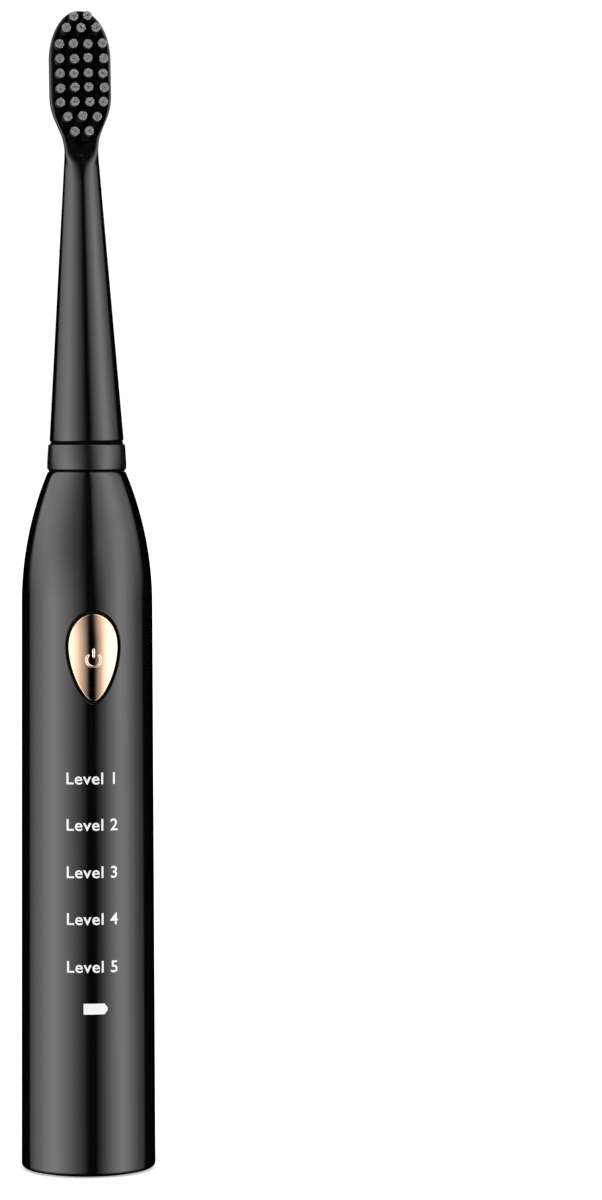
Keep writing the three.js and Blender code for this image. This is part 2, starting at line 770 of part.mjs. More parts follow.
// The drive insert: a hard plug in the neck with a flat-sided bore, and a slot for the clip.
function driveInsert() {
  const plug = turned([[0, 2.5], [5.65, 2.5], [4.2, 23.4], [0, 23.4]], INNER);
  const flat = SHAFT_FLAT + 0.1;
  const bore = cut(rod(SHAFT_RADIUS + 0.1, 0, 22.3, INNER), block([-3, 3], [flat, 3], [-1, 30]));
  return cut(plug, bore, block([-1.4, 1.4], [0, 2.2], [5, 20]));
}

// The clip: a spring strip in the slot, bowed towards the shaft's flat.
function retentionClip() {
  const bow = [
    [1.9, 5.3], [2.1, 5.3], [1.8, 12.5], [2.1, 19.7],
    [1.9, 19.7], [1.55, 12.5],
  ];
  return sideSlab(bow, -1.2, 1.2);
}

const head = assembly(HEAD_Z);
piece(head, "head_shell", GLOSS_BLACK, headShell());
piece(head, "bristle_block", NYLON_GREY, bristleBlock());
piece(head, "drive_insert", SATIN_BLACK, driveInsert());
piece(head, "retention_clip", STEEL, retentionClip());

export default root;
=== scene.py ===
# %% [markdown]
# An electric toothbrush: a round, polished black handle with a teardrop button in rose gold, a column
# of mode words, a satin ring at the neck, and a brush head with thirty round tufts. The CAD model is
# the frame: it gives every place and size, and this lesson makes the skin and the light around it.

# %% Load the frame
import json
import math
import random

import bmesh
import bpy
from mathutils import Matrix, Vector


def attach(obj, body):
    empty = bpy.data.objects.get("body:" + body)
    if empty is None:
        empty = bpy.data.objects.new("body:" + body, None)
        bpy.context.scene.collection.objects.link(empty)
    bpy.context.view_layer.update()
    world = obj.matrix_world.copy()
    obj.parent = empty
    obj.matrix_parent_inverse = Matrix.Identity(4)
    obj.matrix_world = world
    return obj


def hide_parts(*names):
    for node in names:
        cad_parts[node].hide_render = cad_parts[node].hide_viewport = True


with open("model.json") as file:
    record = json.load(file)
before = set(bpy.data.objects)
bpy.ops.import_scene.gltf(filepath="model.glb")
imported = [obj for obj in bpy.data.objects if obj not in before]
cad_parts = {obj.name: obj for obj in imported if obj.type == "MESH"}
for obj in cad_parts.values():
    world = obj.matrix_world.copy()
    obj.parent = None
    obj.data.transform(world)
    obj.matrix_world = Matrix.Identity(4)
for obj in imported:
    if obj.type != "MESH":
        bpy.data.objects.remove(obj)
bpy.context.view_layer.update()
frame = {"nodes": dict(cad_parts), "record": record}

# %% [markdown]
# All sizes in the lesson are in millimetres and are multiplied by MM where they reach a mesh. The
# toothbrush stands on z = 0, its axis is the Z axis, and the button and the bristles face -Y.

# %% The few tools that every piece uses
MM = 0.001
TURN = 2 * math.pi
TOUCHING = 0.0005 * MM


def pick(*pieces):
    """Selects only these pieces, and makes the first one active."""
    bpy.ops.object.select_all(action="DESELECT")
    for piece in pieces:
        piece.select_set(True)
    bpy.context.view_layer.objects.active = pieces[0]


def edit(piece):
    """Opens edit mode on one piece, ready to pick vertices."""
    pick(piece)
    bpy.ops.object.mode_set(mode="EDIT")
    bpy.ops.mesh.select_mode(type="VERT")
    return bmesh.from_edit_mesh(piece.data)


def leave(piece):
    """Closes edit mode with doubles merged and all faces turned outwards."""
    bpy.ops.mesh.select_all(action="SELECT")
    bpy.ops.mesh.remove_doubles(threshold=TOUCHING)
    bpy.ops.mesh.normals_make_consistent(inside=False)
    bpy.ops.object.mode_set(mode="OBJECT")
    return piece


def close_ends(piece):
    """Fills each open end of the piece with one face, in edit mode."""
    bpy.ops.mesh.select_all(action="DESELECT")
    bpy.ops.mesh.select_mode(type="EDGE")
    for edge in bmesh.from_edit_mesh(piece.data).edges:
        edge.select_set(edge.is_boundary)
    bpy.ops.mesh.edge_face_add()


def smooth(piece, degrees=35):
    """Shades the piece smooth, with a hard line where two faces meet at more than this angle."""
    pick(piece)
    bpy.ops.object.shade_smooth_by_angle(angle=math.radians(degrees))
    return piece


def place(piece, body, slot, *nodes):
    """Says which body a piece rides on and which CAD nodes it stands for. The slot is not used."""
    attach(piece, body)
    if nodes:
        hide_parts(*nodes)
    piece.data.calc_loop_triangles()
    print(piece.name, len(piece.data.loop_triangles), "triangles")
    return piece


# %% [markdown]
# Most of a toothbrush is turned: every point of its outline runs once round the axis. A cylinder
# with a bevel could stand in for it, but a real outline has soft edges and a shoulder, so the
# outline itself is drawn. It starts from one vertex, is extruded point by point, and is then spun
# through a full turn, as on a lathe. The first and last columns meet, and are merged.

# %% The lathe
def turned(name, outline, sides=192, closed=True):
    """A lathe shape. The outline is a list of (radius, height) in mm."""
    bpy.ops.object.select_all(action="DESELECT")
    bpy.ops.mesh.primitive_plane_add(size=MM)
    piece = bpy.context.object
    piece.name = name
    edit(piece)
    bpy.ops.mesh.select_all(action="SELECT")
    bpy.ops.mesh.merge(type="CENTER")
    points = [Vector((r, 0, z)) * MM for r, z in outline]
    bpy.ops.transform.translate(value=points[0])
    stops = points + points[:1] if closed else points
    for here, there in zip(stops, stops[1:]):
        bpy.ops.mesh.extrude_vertices_move(TRANSFORM_OT_translate={"value": there - here})
    bpy.ops.mesh.select_all(action="SELECT")
    bpy.ops.mesh.spin(steps=sides, angle=TURN, center=(0, 0, 0), axis=(0, 0, 1))
    return leave(piece)


def corner(centre, radius, start, end, steps):
    """Points of a rounded corner of an outline, from one angle to another, in degrees."""
    angles = [math.radians(start + (end - start) * i / steps) for i in range(steps + 1)]
    return [(centre[0] + radius * math.cos(a), centre[1] + radius * math.sin(a)) for a in angles]


def climb(low, high, step):
    """Even heights from low to high, about a step apart."""
    count = max(1, round((high - low) / step))
    return [low + (high - low) * i / count for i in range(count + 1)]


# %% [markdown]
# The handle is a tube 27.5 mm wide at the foot. It tapers by less than half a millimetre up to the
# shoulder and then closes in on the neck along an arc of 70 mm. Gloss black shows each dent in a
# surface as a kink in its reflection, so the hole for the button isn't cut with a Boolean, which
# leaves slivers beside its edge. Instead a window is opened in the turned skin, and its edge is
# extruded inwards, loop after loop, until it has the shape of the button. Each loop is laid
# exactly on the tube, so the reflection stays calm up to the last tenth of a millimetre.

# %% The handle's outline
FOOT_RADIUS, SHOULDER_RADIUS = 13.75, 13.35
SHOULDER_Z, SHOULDER_ARC, HANDLE_TOP = 116.0, 70.0, 143.0
WALL, RIM_LIFT, RIM_ROUND, RIM_BEVEL = 1.5, 0.3, 1.0, 0.3
TOP_RADIUS, NECK_HOLE, NECK_HOLE_LOW = 7.7, 6.75, 140.6
WINDOW_LOW, WINDOW_HIGH, WINDOW_ANGLE = 92.0, 120.0, 36.0
HANDLE_SIDES = 240


def handle_radius(z):
    """The outside radius of the handle at height z."""
    if z <= SHOULDER_Z:
        return FOOT_RADIUS - (FOOT_RADIUS - SHOULDER_RADIUS) * z / SHOULDER_Z
    return SHOULDER_RADIUS - SHOULDER_ARC + math.sqrt(SHOULDER_ARC ** 2 - (z - SHOULDER_Z) ** 2)


shared = climb(6, WINDOW_LOW, 6)[:-1] + climb(WINDOW_LOW, WINDOW_HIGH, 1)
outer = [(handle_radius(z), z) for z in shared + climb(WINDOW_HIGH, HANDLE_TOP - 0.25, 0.75)[1:]]
inner = [(handle_radius(z) - WALL, z) for z in shared + [124, 128, 132, 136, 139]]
foot_round = corner((FOOT_RADIUS - RIM_ROUND, RIM_LIFT + RIM_ROUND), RIM_ROUND, -90, 0, 8)
top_rim = [(TOP_RADIUS + 0.16, HANDLE_TOP - 0.03), (TOP_RADIUS, HANDLE_TOP),
           (NECK_HOLE, HANDLE_TOP), (NECK_HOLE, NECK_HOLE_LOW)]
inner_foot = [(FOOT_RADIUS - WALL, RIM_LIFT + RIM_BEVEL), (FOOT_RADIUS - WALL + RIM_BEVEL, RIM_LIFT)]
handle = turned("handle_skin", foot_round + outer + top_rim + inner[::-1] + inner_foot, HANDLE_SIDES)
print("handle", len(handle.data.vertices), "vertices")

# %% [markdown]
# The button's outline is half an ellipse above and a soft point below. It is drawn flat, as if the
# tube were rolled out, with u across and z up. A point on the tube is then found from u and z, and
# all loops round the button are placed by their direction from its middle.

# %% The teardrop
BUTTON_Z, BUTTON_HALF, BUTTON_UP, BUTTON_DOWN = 108.0, 5.15, 6.5, 11.1
BUTTON_GAP = 0.62
BUTTON_MIDDLE = 106.0
POINT_REACH, POINT_WIDTH = 0.45, 0.37


def bezier(points, t):
    """A point of the curve with four control points, for t from 0 to 1."""
    a, b, c, d = points
    s = 1 - t
    return tuple(s ** 3 * a[i] + 3 * s * s * t * b[i] + 3 * s * t * t * c[i] + t ** 3 * d[i]
                 for i in range(len(a)))


def teardrop_line(steps=90):
    """The outline of the button, rolled out flat, anticlockwise from its right side."""
    turns = [math.pi * i / steps for i in range(steps)]
    top = [(BUTTON_HALF * math.cos(a), BUTTON_Z + BUTTON_UP * math.sin(a)) for a in turns]
    side = [(-BUTTON_HALF, 0), (-BUTTON_HALF, -POINT_REACH * BUTTON_DOWN),
            (-POINT_WIDTH * BUTTON_HALF, -BUTTON_DOWN), (0, -BUTTON_DOWN)]
    left = [bezier(side, i / steps) for i in range(steps)]
    right = [(-u, z) for u, z in [bezier(side, 1 - i / steps) for i in range(steps)]]
    return top + [(u, BUTTON_Z + z) for u, z in left + right]


LINE = teardrop_line()


def reach_table(grow):
    """How far the outline, moved outwards by grow, is from the button's middle in each direction."""
    table = []
    for i, (u, z) in enumerate(LINE):
        before, after = LINE[i - 1], LINE[(i + 1) % len(LINE)]
        along = Vector((after[0] - before[0], after[1] - before[1])).normalized()
        point = Vector((u + grow * along.y, z - grow * along.x - BUTTON_MIDDLE))
        table.append((math.atan2(point.y, point.x) % TURN, point.length))
    table.sort()
    first, last = table[0], table[-1]
    return [(last[0] - TURN, last[1])] + table + [(first[0] + TURN, first[1])]


def reach(table, direction):
    """Reads a reach table in any direction."""
    direction %= TURN
    low, high = 0, len(table) - 1
    while high - low > 1:
        half = (low + high) // 2
        low, high = (half, high) if table[half][0] <= direction else (low, half)
    (a, near), (b, far) = table[low], table[high]
    return near + (far - near) * (direction - a) / (b - a)


def rolled(u, z, lift):
    """The point of the tube at u across and z up, raised above its surface by lift."""
    radius = handle_radius(z)
    turn = u / radius
    return Vector((math.sin(turn), -math.cos(turn), 0)) * (radius + lift) * MM + Vector((0, 0, z * MM))


def unrolled(point):
    """The direction and distance of a point of the skin from the button's middle."""
    z = point.z / MM
    u = math.atan2(point.x, -point.y) * handle_radius(z)
    return math.atan2(z - BUTTON_MIDDLE, u) % TURN, math.hypot(u, z - BUTTON_MIDDLE)


def from_middle(direction, distance, lift):
    """The point of the tube at a direction and distance from the button's middle."""
    return rolled(distance * math.cos(direction), BUTTON_MIDDLE + distance * math.sin(direction), lift)


print("button", 2 * BUTTON_HALF, "by", BUTTON_UP + BUTTON_DOWN, "mm")

# %% Open the window and lay the loops
OUTER_LOOPS = [0.2, 0.4, 0.58, 0.72, 0.83, 0.91, 0.96, 1.0]
INNER_LOOPS = [0.5, 1.0]
EDGE_ROUND, EDGE_STEPS = 0.1, 5
WINDOW_MARGIN, SKIN_BAND = 0.1, 0.3


def in_window(point):
    """Says whether a point is well within the window, seen from the axis."""
    turn = math.degrees(math.atan2(point.x, -point.y))
    z = point.z / MM
    across = abs(turn) < WINDOW_ANGLE - WINDOW_MARGIN
    return across and WINDOW_LOW + WINDOW_MARGIN < z < WINDOW_HIGH - WINDOW_MARGIN


def skin_depth(point):
    """How far a point lies below the outside of the handle."""
    return handle_radius(point.z / MM) - math.hypot(point.x, point.y) / MM


def next_loop(points):
    """Extrudes the selected edges, and puts each new vertex where points says."""
    bpy.ops.mesh.extrude_edges_move()
    mesh = bmesh.from_edit_mesh(bpy.context.object.data)
    for vertex in mesh.verts:
        if vertex.select:
            vertex.co = points(vertex.co)
    bmesh.update_edit_mesh(bpy.context.object.data)


def collar(depth, loops):
    """Opens the window in one skin of the handle, and extrudes its edge inwards to the teardrop."""
    bpy.ops.mesh.select_all(action="DESELECT")
    bpy.ops.mesh.select_mode(type="FACE")
    for face in bmesh.from_edit_mesh(handle.data).faces:
        middle = face.calc_center_median()
        face.select_set(in_window(middle) and abs(skin_depth(middle) - depth) < SKIN_BAND)
    bpy.ops.mesh.delete(type="FACE")
    bpy.ops.mesh.select_mode(type="EDGE")
    mesh = bmesh.from_edit_mesh(handle.data)
    for edge in mesh.edges:
        on_rim = not any(in_window(vertex.co) for vertex in edge.verts)
        edge.select_set(on_rim and edge.is_boundary)
    print("window edge", sum(edge.select for edge in mesh.edges), "edges")
    done = 0.0
    edge_line = reach_table(BUTTON_GAP + EDGE_ROUND)
    for share in loops:
        left = (share - done) / (1 - done)
        done = share

        def closer(point):
            direction, distance = unrolled(point)
            goal = reach(edge_line, direction)
            return from_middle(direction, distance + (goal - distance) * left, -depth)
        next_loop(closer)


def on_button(grow, lift, share=1.0):
    """A rule for a loop: the outline grown by grow, shrunk to a share of its size, raised by lift."""
    line = reach_table(grow)
    return lambda direction: from_middle(direction, reach(line, direction) * share, lift)


def lay(rule):
    """Extrudes the selected loop, and lays the new one by a rule."""
    next_loop(lambda point: rule(unrolled(point)[0]))


edit(handle)
collar(0, OUTER_LOOPS)
for step in range(1, EDGE_STEPS + 1):
    bend = math.radians(90 * step / EDGE_STEPS)
    lay(on_button(BUTTON_GAP + EDGE_ROUND * (1 - math.sin(bend)), -EDGE_ROUND * (1 - math.cos(bend))))
lay(on_button(BUTTON_GAP, -WALL))
collar(WALL, INNER_LOOPS)
lay(on_button(BUTTON_GAP, -WALL))
smooth(leave(handle))
open_edges = bmesh.new()
open_edges.from_mesh(handle.data)
print("handle open edges", sum(not edge.is_manifold for edge in open_edges.edges))
open_edges.free()
place(handle, "handle", "handle_black", "handle_shell")

# %% [markdown]
# The button is a plated cap with a flat back. Its rim is rounded like a pebble and lies level with the
# tube, and its top is domed by a third of a millimetre more than the tube is, which spreads the light
# on it. It grows from a circle: its only edge is extruded up the side, over the rim and in to the
# middle, and every new loop is laid out by the same teardrop.

# %% The power button
BUTTON_SIDES, BUTTON_ROUND, ROUND_STEPS = 160, 0.14, 6
BUTTON_BACK, BACK_INSET = -11.95, 0.02
BUTTON_EDGE, BUTTON_CROWN = -0.05, 0.0112
TOP_SHARES = (0.98, 0.94, 0.88, 0.8, 0.7, 0.6, 0.5, 0.4, 0.3, 0.2, 0.11, 0.04)


def ring_of(name, sides, first):
    """A circle whose vertices are put where first says, from their direction round Y or Z."""
    bpy.ops.object.select_all(action="DESELECT")
    bpy.ops.mesh.primitive_circle_add(vertices=sides, radius=MM)
    piece = bpy.context.object
    piece.name = name
    mesh = edit(piece)
    for vertex in mesh.verts:
        vertex.co = first(math.atan2(vertex.co.y, vertex.co.x) % TURN)
        vertex.select_set(True)
    mesh.select_flush(True)
    bmesh.update_edit_mesh(piece.data)
    return piece


def half_across(z):
    """Half the button's width at height z."""
    right = [(height, u) for u, height in LINE if u >= 0]
    above = min((p for p in right if p[0] >= z), default=(z, 0.0))
    below = max((p for p in right if p[0] <= z), default=(z, 0.0))
    share = (z - below[0]) / (above[0] - below[0]) if above[0] > below[0] else 0.0
    return below[1] + (above[1] - below[1]) * share


def crown(u, z):
    """How far the domed top of the button stands above the tube."""
    return BUTTON_EDGE + BUTTON_CROWN * max(0.0, half_across(z) ** 2 - u * u)


def on_dome(grow, share=1.0, drop=0.0):
    """A rule for a loop on the domed top, or a little below it."""
    line = reach_table(grow)

    def rule(direction):
        far = reach(line, direction) * share
        u, z = far * math.cos(direction), BUTTON_MIDDLE + far * math.sin(direction)
        return rolled(u, z, crown(u, z) - drop)
    return rule


def on_back(grow):
    """A rule for a loop in the button's flat back."""
    rule = on_button(grow, 0)

    def flat(direction):
        point = rule(direction)
        return Vector((point.x * BUTTON_BACK * MM / point.y, BUTTON_BACK * MM, point.z))
    return flat


button = ring_of("power_button_cap", BUTTON_SIDES, on_back(-BACK_INSET))
for step in range(ROUND_STEPS + 1):
    bend = math.radians(90 * step / ROUND_STEPS)
    lay(on_dome(-BUTTON_ROUND * (1 - math.cos(bend)), 1.0, BUTTON_ROUND * (1 - math.sin(bend))))
for share in TOP_SHARES:
    lay(on_dome(-BUTTON_ROUND, share))
bpy.ops.mesh.merge(type="CENTER")
close_ends(button)
smooth(leave(button), 50)
place(button, "button", "rose_gold", "power_button")

# %% [markdown]
# The power mark is raised on the button: a ring, open at the top, and a bar in the opening. A flat
# curve could be given a thickness, but a raised mark has a rounded top, so a rod is swept along each
# line: a small circle is extruded along the path, and each section is laid on the button's dome, with
# its lower half pressed flat just under the gold.

# %% The raised power mark
MARK_Z, MARK_RADIUS, MARK_HALF, MARK_HIGH, MARK_SUNK = 105.25, 1.43, 0.27, 0.13, 0.05
MARK_OPEN, BAR_LOW, BAR_HIGH = 38, 0.35, 2.35
ROD_SIDES, TAPER_FROM, TAPER_STEP = 12, 12, 26


def swept(name, path):
    """A half-round ridge along a path of (u, z) on the button, with tapered ends."""
    bpy.ops.object.select_all(action="DESELECT")
    bpy.ops.mesh.primitive_circle_add(vertices=ROD_SIDES, radius=MM)
    piece = bpy.context.object
    piece.name = name
    edit(piece)
    count = len(path)
    for i, (u, z) in enumerate(path):
        before, after = path[max(0, i - 1)], path[min(count - 1, i + 1)]
        along = Vector((after[0] - before[0], after[1] - before[1])).normalized()
        from_end = min(i, count - 1 - i)
        size = math.sin(math.radians(min(90, TAPER_FROM + TAPER_STEP * from_end)))
        if i:
            bpy.ops.mesh.extrude_edges_move()
        mesh = bmesh.from_edit_mesh(piece.data)
        chosen = [vertex for vertex in mesh.verts if vertex.select] if i else list(mesh.verts)
        for k, vertex in enumerate(sorted(chosen, key=lambda v: v.index)):
            turn = TURN * k / ROD_SIDES
            side, up = MARK_HALF * size * math.cos(turn), MARK_HIGH * size * math.sin(turn)
            at_u, at_z = u - side * along.y, z + side * along.x
            vertex.co = rolled(at_u, at_z, crown(at_u, at_z) + max(up, -MARK_SUNK))
        bmesh.update_edit_mesh(piece.data)
    close_ends(piece)
    return smooth(leave(piece), 60)


arc = [(MARK_RADIUS * math.sin(math.radians(a)), MARK_Z + MARK_RADIUS * math.cos(math.radians(a)))
       for a in climb(MARK_OPEN, 360 - MARK_OPEN, 6)]
bar = [(0, z) for z in climb(MARK_Z + BAR_LOW, MARK_Z + BAR_HIGH, 0.14)]
power_ring = place(swept("power_mark_ring", arc), "button", "rose_gold")
power_bar = place(swept("power_mark_bar", bar), "button", "rose_gold")

# %% [markdown]
# A black rubber seal lies behind the button and fills the gap round it. Its lip stands a little
# below both edges, and it is what draws the dark line round the gold. It is a shallow tray, deep
# enough for the button's travel, and it grows from a small circle in the middle of its floor.

# %% The seal round the button
SEAL_FLOOR, SEAL_BACK, SEAL_INSIDE, SEAL_OUTSIDE = -1.95, -2.3, 0.19, 1.1
SEAL_LIP = [(SEAL_INSIDE, -0.88), (0.27, -0.78), (0.38, -0.75), (0.49, -0.78), (0.6, -0.88), (0.61, -1.55)]
FLOOR_SHARES = (0.02, 0.1, 0.3, 0.5, 0.7, 0.9)
seal = ring_of("button_seal", BUTTON_SIDES, on_button(0, SEAL_FLOOR, FLOOR_SHARES[0]))
for share in FLOOR_SHARES[1:]:
    lay(on_button(0, SEAL_FLOOR, share))
for grow, lift in ([(SEAL_INSIDE, SEAL_FLOOR)] + SEAL_LIP
                   + [(SEAL_OUTSIDE, -1.6), (SEAL_OUTSIDE, SEAL_BACK)]):
    lay(on_button(grow, lift))
for share in FLOOR_SHARES[::-1]:
    lay(on_button(0, SEAL_BACK, share))
bpy.ops.mesh.select_all(action="SELECT")
bpy.ops.mesh.fill_holes(sides=0)
smooth(leave(seal), 50)
place(seal, "handle", "seal_rubber", "button_membrane")

# %% [markdown]
# The ring at the neck, the front housing behind it, the soft seal on the shaft and the foot are all
# turned on the same lathe. Their outlines have a rounded corner wherever a mould would have one,
# because a sharp corner never catches the light. Above and below the ring is a groove, with a narrow
# land at its bottom. The CAD has both lands as part of the ring. Here they are pieces of their own,
# so that they can carry painted shade: a near-black finish that hardly reflects.

# %% The neck ring, the nose, the shaft seal and the foot
RING_Z, RING_HIGH, RING_ROUND = 143.45, 5.15, 0.27
RING_FOOT, RING_TOP = 7.81, 7.58
LANDS = [("land_below_ring", 7.78, 143.07, 143.43), ("land_above_ring", 7.42, 148.62, 149.16)]
ring_outline = ([(NECK_HOLE, 0), (7.8, 0)] + corner((RING_FOOT, RING_ROUND), RING_ROUND, -88, 0, 5)
                + [(8.08, 1.5), (7.97, 3.2)]
                + corner((RING_TOP, RING_HIGH - RING_ROUND), RING_ROUND, 0, 88, 5)
                + [(NECK_HOLE, RING_HIGH)])
neck_ring = smooth(turned("neck_collar", [(r, z + RING_Z) for r, z in ring_outline]), 30)
place(neck_ring, "handle", "satin_black", "neck_ring")
lands = []
# The lands are cut out of the ring so that they can carry the painted groove shade.
for name, radius, low, top in LANDS:
    land_outline = [(NECK_HOLE, low), (radius, low), (radius, top), (NECK_HOLE, top)]
    lands.append(place(smooth(turned(name, land_outline), 30), "handle", "seal_rubber"))

nose_clear = WALL + 0.35
nose_flank = [(handle_radius(z) - nose_clear, z) for z in climb(122, 136.7, 2)]
nose_outline = ([(8.3, 122)] + nose_flank + [(6.85, 136.7), (6.85, 138.3)]
                + [(handle_radius(z) - nose_clear, z) for z in (138.3, 139.6)]
                + [(6.6, 140.3)] + corner((6.35, 148.05), 0.25, 0, 90, 4) + [(5.05, 148.3)]
                + [(4.9, 148.15), (4.9, 139), (2.7, 139), (2.7, 136.3), (3.6, 136.3), (3.6, 131),
                   (2.7, 131), (2.7, 128.5), (8.3, 128.5)])
nose = smooth(turned("nose_housing", nose_outline, sides=128), 30)
place(nose, "handle", "satin_black", "nose_cone")

lip_outline = [(2.1, 139.1), (4.8, 139.1), (4.8, 147.8), (4.65, 148.1), (4.1, 148.35), (3.75, 148.8),
               (3.3, 149.7), (3.0, 150.25), (2.85, 150.6), (2.6, 150.8), (2.35, 150.75), (2.1, 150.5)]
shaft_seal = smooth(turned("shaft_lip_seal", lip_outline, sides=128), 40)
place(shaft_seal, "handle", "seal_rubber", "shaft_seal")

foot_outline = ([(4.2, 0.2), (4.4, 0), (11.4, 0)] + corner((11.5, 0.4), 0.4, -80, 0, 5)
                + [(11.9, 5.6), (10.5, 5.6), (10.5, 7.4), (11.9, 7.4), (11.9, 11), (9.3, 11), (9.3, 7.2),
                   (3, 7.2), (3, 5), (4.2, 5)])
foot = smooth(turned("foot_cap", foot_outline), 30)
place(foot, "handle", "satin_black", "base_cap")

jack_outline = [(1.9, 5.25), (2.05, 5.1), (2.75, 5.1), (2.9, 5.25), (2.9, 7.3), (4.4, 7.3), (4.4, 9),
                (3.4, 9), (3.4, 13.6), (0.75, 13.6), (0.75, 12.2), (1.9, 12.2)]
jack = smooth(turned("charging_barrel", jack_outline, sides=64), 30)
place(jack, "handle", "satin_black", "charging_jack")

# %% [markdown]
# The drive shaft is a ground steel rod, 4 mm thick, with a flat on its back that the head slides
# along. The flat is pressed into the turned rod by moving its points onto one plane.

# %% The drive shaft
SHAFT_RADIUS, SHAFT_FLAT, FLAT_FROM = 2.0, 1.4, 151.5
SHAFT_LOW, SHAFT_TOP, SHAFT_CHAMFER = 101.0, 170.5, 0.2
shaft_side = [(SHAFT_RADIUS, z) for z in (SHAFT_LOW + SHAFT_CHAMFER, FLAT_FROM - 0.02, FLAT_FROM, 160, 170)]
shaft = turned("drive_rod", [(0, SHAFT_LOW), (SHAFT_RADIUS - SHAFT_CHAMFER, SHAFT_LOW)] + shaft_side
               + [(1.6, SHAFT_TOP), (0, SHAFT_TOP)], sides=96, closed=False)
for vertex in shaft.data.vertices:
    if vertex.co.z > (FLAT_FROM - 0.01) * MM and vertex.co.y > SHAFT_FLAT * MM:
        vertex.co.y = SHAFT_FLAT * MM
smooth(shaft, 20)
place(shaft, "drive", "steel", "drive_shaft")

# %% [markdown]
# The brush head is one moulding: a hollow cone that grips the shaft, a neck, and a flat plate with
# round ends. Joining a cone and a plate with a Boolean would leave a seam where they meet. So it is
# lofted: one ring of vertices is extruded up through about a hundred cross sections that change
# slowly from a circle to a rounded bar. Below the bristles the front is planed off at a slant, and
# a smooth minimum of the round section and the plane gives that edge a small radius.

# %% The head's cross sections
HEAD_Z, HEAD_SIDES = 149.2, 256
HEAD_FOOT, HEAD_NECK, NECK_LENGTH = 7.58, 3.42, 58.6
PLATE_HALF, PLATE_FRONT, PLATE_BACK = 6.25, 1.4, 3.0
PLATE_LOW, PLATE_HIGH, PLATE_ARC = 70.3, 77.4, 10.0
FLATTENS, BACK_MOVES, ROUND_POWER, FLAT_POWER = (56, 67), (54, 66), 2, 16
LEAST_FRONT, TIP_ROUND, TIP_POWER, EDGE_POWER = 2.4, 1.1, 2.5, 16
FLARE_POINTS = [(HEAD_NECK, NECK_LENGTH), (3.3, 63.6), (PLATE_HALF, 65.0), (PLATE_HALF, PLATE_LOW)]
FLARE = [bezier(FLARE_POINTS, i / 60) for i in range(61)]
SLANT = [(0, 9.0), (51.5, 9.0), (53.06, 4.3), (62, PLATE_FRONT), (100, PLATE_FRONT)]


def between(table, x):
    """Reads y at x from a table of (x, y), with straight lines between its points."""
    for (a, low), (b, high) in zip(table, table[1:]):
        if a <= x <= b:
            return low + (high - low) * (x - a) / (b - a)
    return table[-1][1]


def ease(low, high, x):
    """Goes from 0 at low to 1 at high, gently at both ends."""
    t = min(1, max(0, (x - low) / (high - low)))
    return t * t * (3 - 2 * t)


def neck_radius(z):
    """The radius of the head's cone at height z above its foot."""
    return HEAD_FOOT - (HEAD_FOOT - HEAD_NECK) * z / NECK_LENGTH


def half_width(z):
    """Half the head's width at height z above its foot."""
    if z <= NECK_LENGTH:
        return neck_radius(z)
    if z <= PLATE_LOW:
        return between([(height, half) for half, height in FLARE], z)
    if z <= PLATE_HIGH:
        return PLATE_HALF
    return PLATE_HALF * math.sqrt(max(0.0, 1 - ((z - PLATE_HIGH) / PLATE_ARC) ** 2))


def section(z):
    """A rule for a ring of the head: how far the surface is from the axis in each direction."""
    power = ROUND_POWER + (FLAT_POWER - ROUND_POWER) * ease(*FLATTENS, z)
    wide = half_width(z)
    over_top = max(0.0, (z - (PLATE_HIGH + PLATE_ARC - TIP_ROUND)) / TIP_ROUND)
    tuck = (1 - min(0.999, over_top) ** TIP_POWER) ** (1 / TIP_POWER)
    moved = ease(*BACK_MOVES, z)
    back = (neck_radius(z) * (1 - moved) + PLATE_BACK * moved) * tuck
    front = max(LEAST_FRONT, neck_radius(z)) * tuck
    plane = between(SLANT, z) * tuck

    def rule(direction):
        across, up = abs(math.cos(direction)), math.sin(direction)
        body = (across / wide) ** power + (abs(up) / (back if up > 0 else front)) ** power
        distance = body ** (-1 / power)
        if up < 0:
            cut = plane / -up
            distance = (distance ** -EDGE_POWER + cut ** -EDGE_POWER) ** (-1 / EDGE_POWER)
        return Vector((distance * math.cos(direction), distance * up, z + HEAD_Z)) * MM
    return rule


def circle(radius, z):
    """A rule for a round ring of the head, at height z above its foot."""
    return lambda direction: Vector((radius * math.cos(direction), radius * math.sin(direction),
                                     z + HEAD_Z)) * MM


def denser_at_sides(direction):
    """Moves the ring's vertices towards its left and right ends, where the plate's corners are."""
    return direction - 0.3 * math.sin(2 * direction)


# %% The head, ring by ring
BORE_TOP = 23.8
BORE_AND_FOOT = [(4.1, BORE_TOP), (4.35, 23.6), (5.9, 0.5), (6.1, 0.08), (6.3, 0), (7.2, 0), (7.42, 0.06),
                 (7.54, 0.25)]
SLOPE_LOW, SLOPE_HIGH = 46, 62
head = ring_of("head_moulding", HEAD_SIDES, lambda d: circle(0.5, BORE_TOP)(denser_at_sides(d)))
heights = (climb(0.6, SLOPE_LOW, 3) + climb(SLOPE_LOW, SLOPE_HIGH, 0.4)[1:]
           + climb(SLOPE_HIGH, PLATE_HIGH, 0.7)[1:]
           + [PLATE_HIGH + PLATE_ARC * math.sin(math.radians(a)) for a in climb(4, 86, 4)])
tip = [PLATE_HIGH + PLATE_ARC * share for share in (0.9985, 0.9995, 0.9999)]
for rule in [circle(r, z) for r, z in BORE_AND_FOOT] + [section(z) for z in heights + tip]:
    next_loop(lambda point: rule(math.atan2(point.y, point.x)))
bpy.ops.mesh.merge(type="CENTER")
close_ends(head)
leave(head)
print("head", len(heights + tip), "cross sections")

# %% [markdown]
# The bristles stand in a shallow pocket, so the plate has a thin raised rim that catches the light
# as a line. The pocket is the plate's own outline, drawn in and pushed into its face: a prism is
# cut out with a Boolean. The head is pushed on by hand, so it sits a few degrees round from the
# button and leans from the axis by less than a degree. The top of the upper land leans with it, so
# that the groove under the head stays closed.

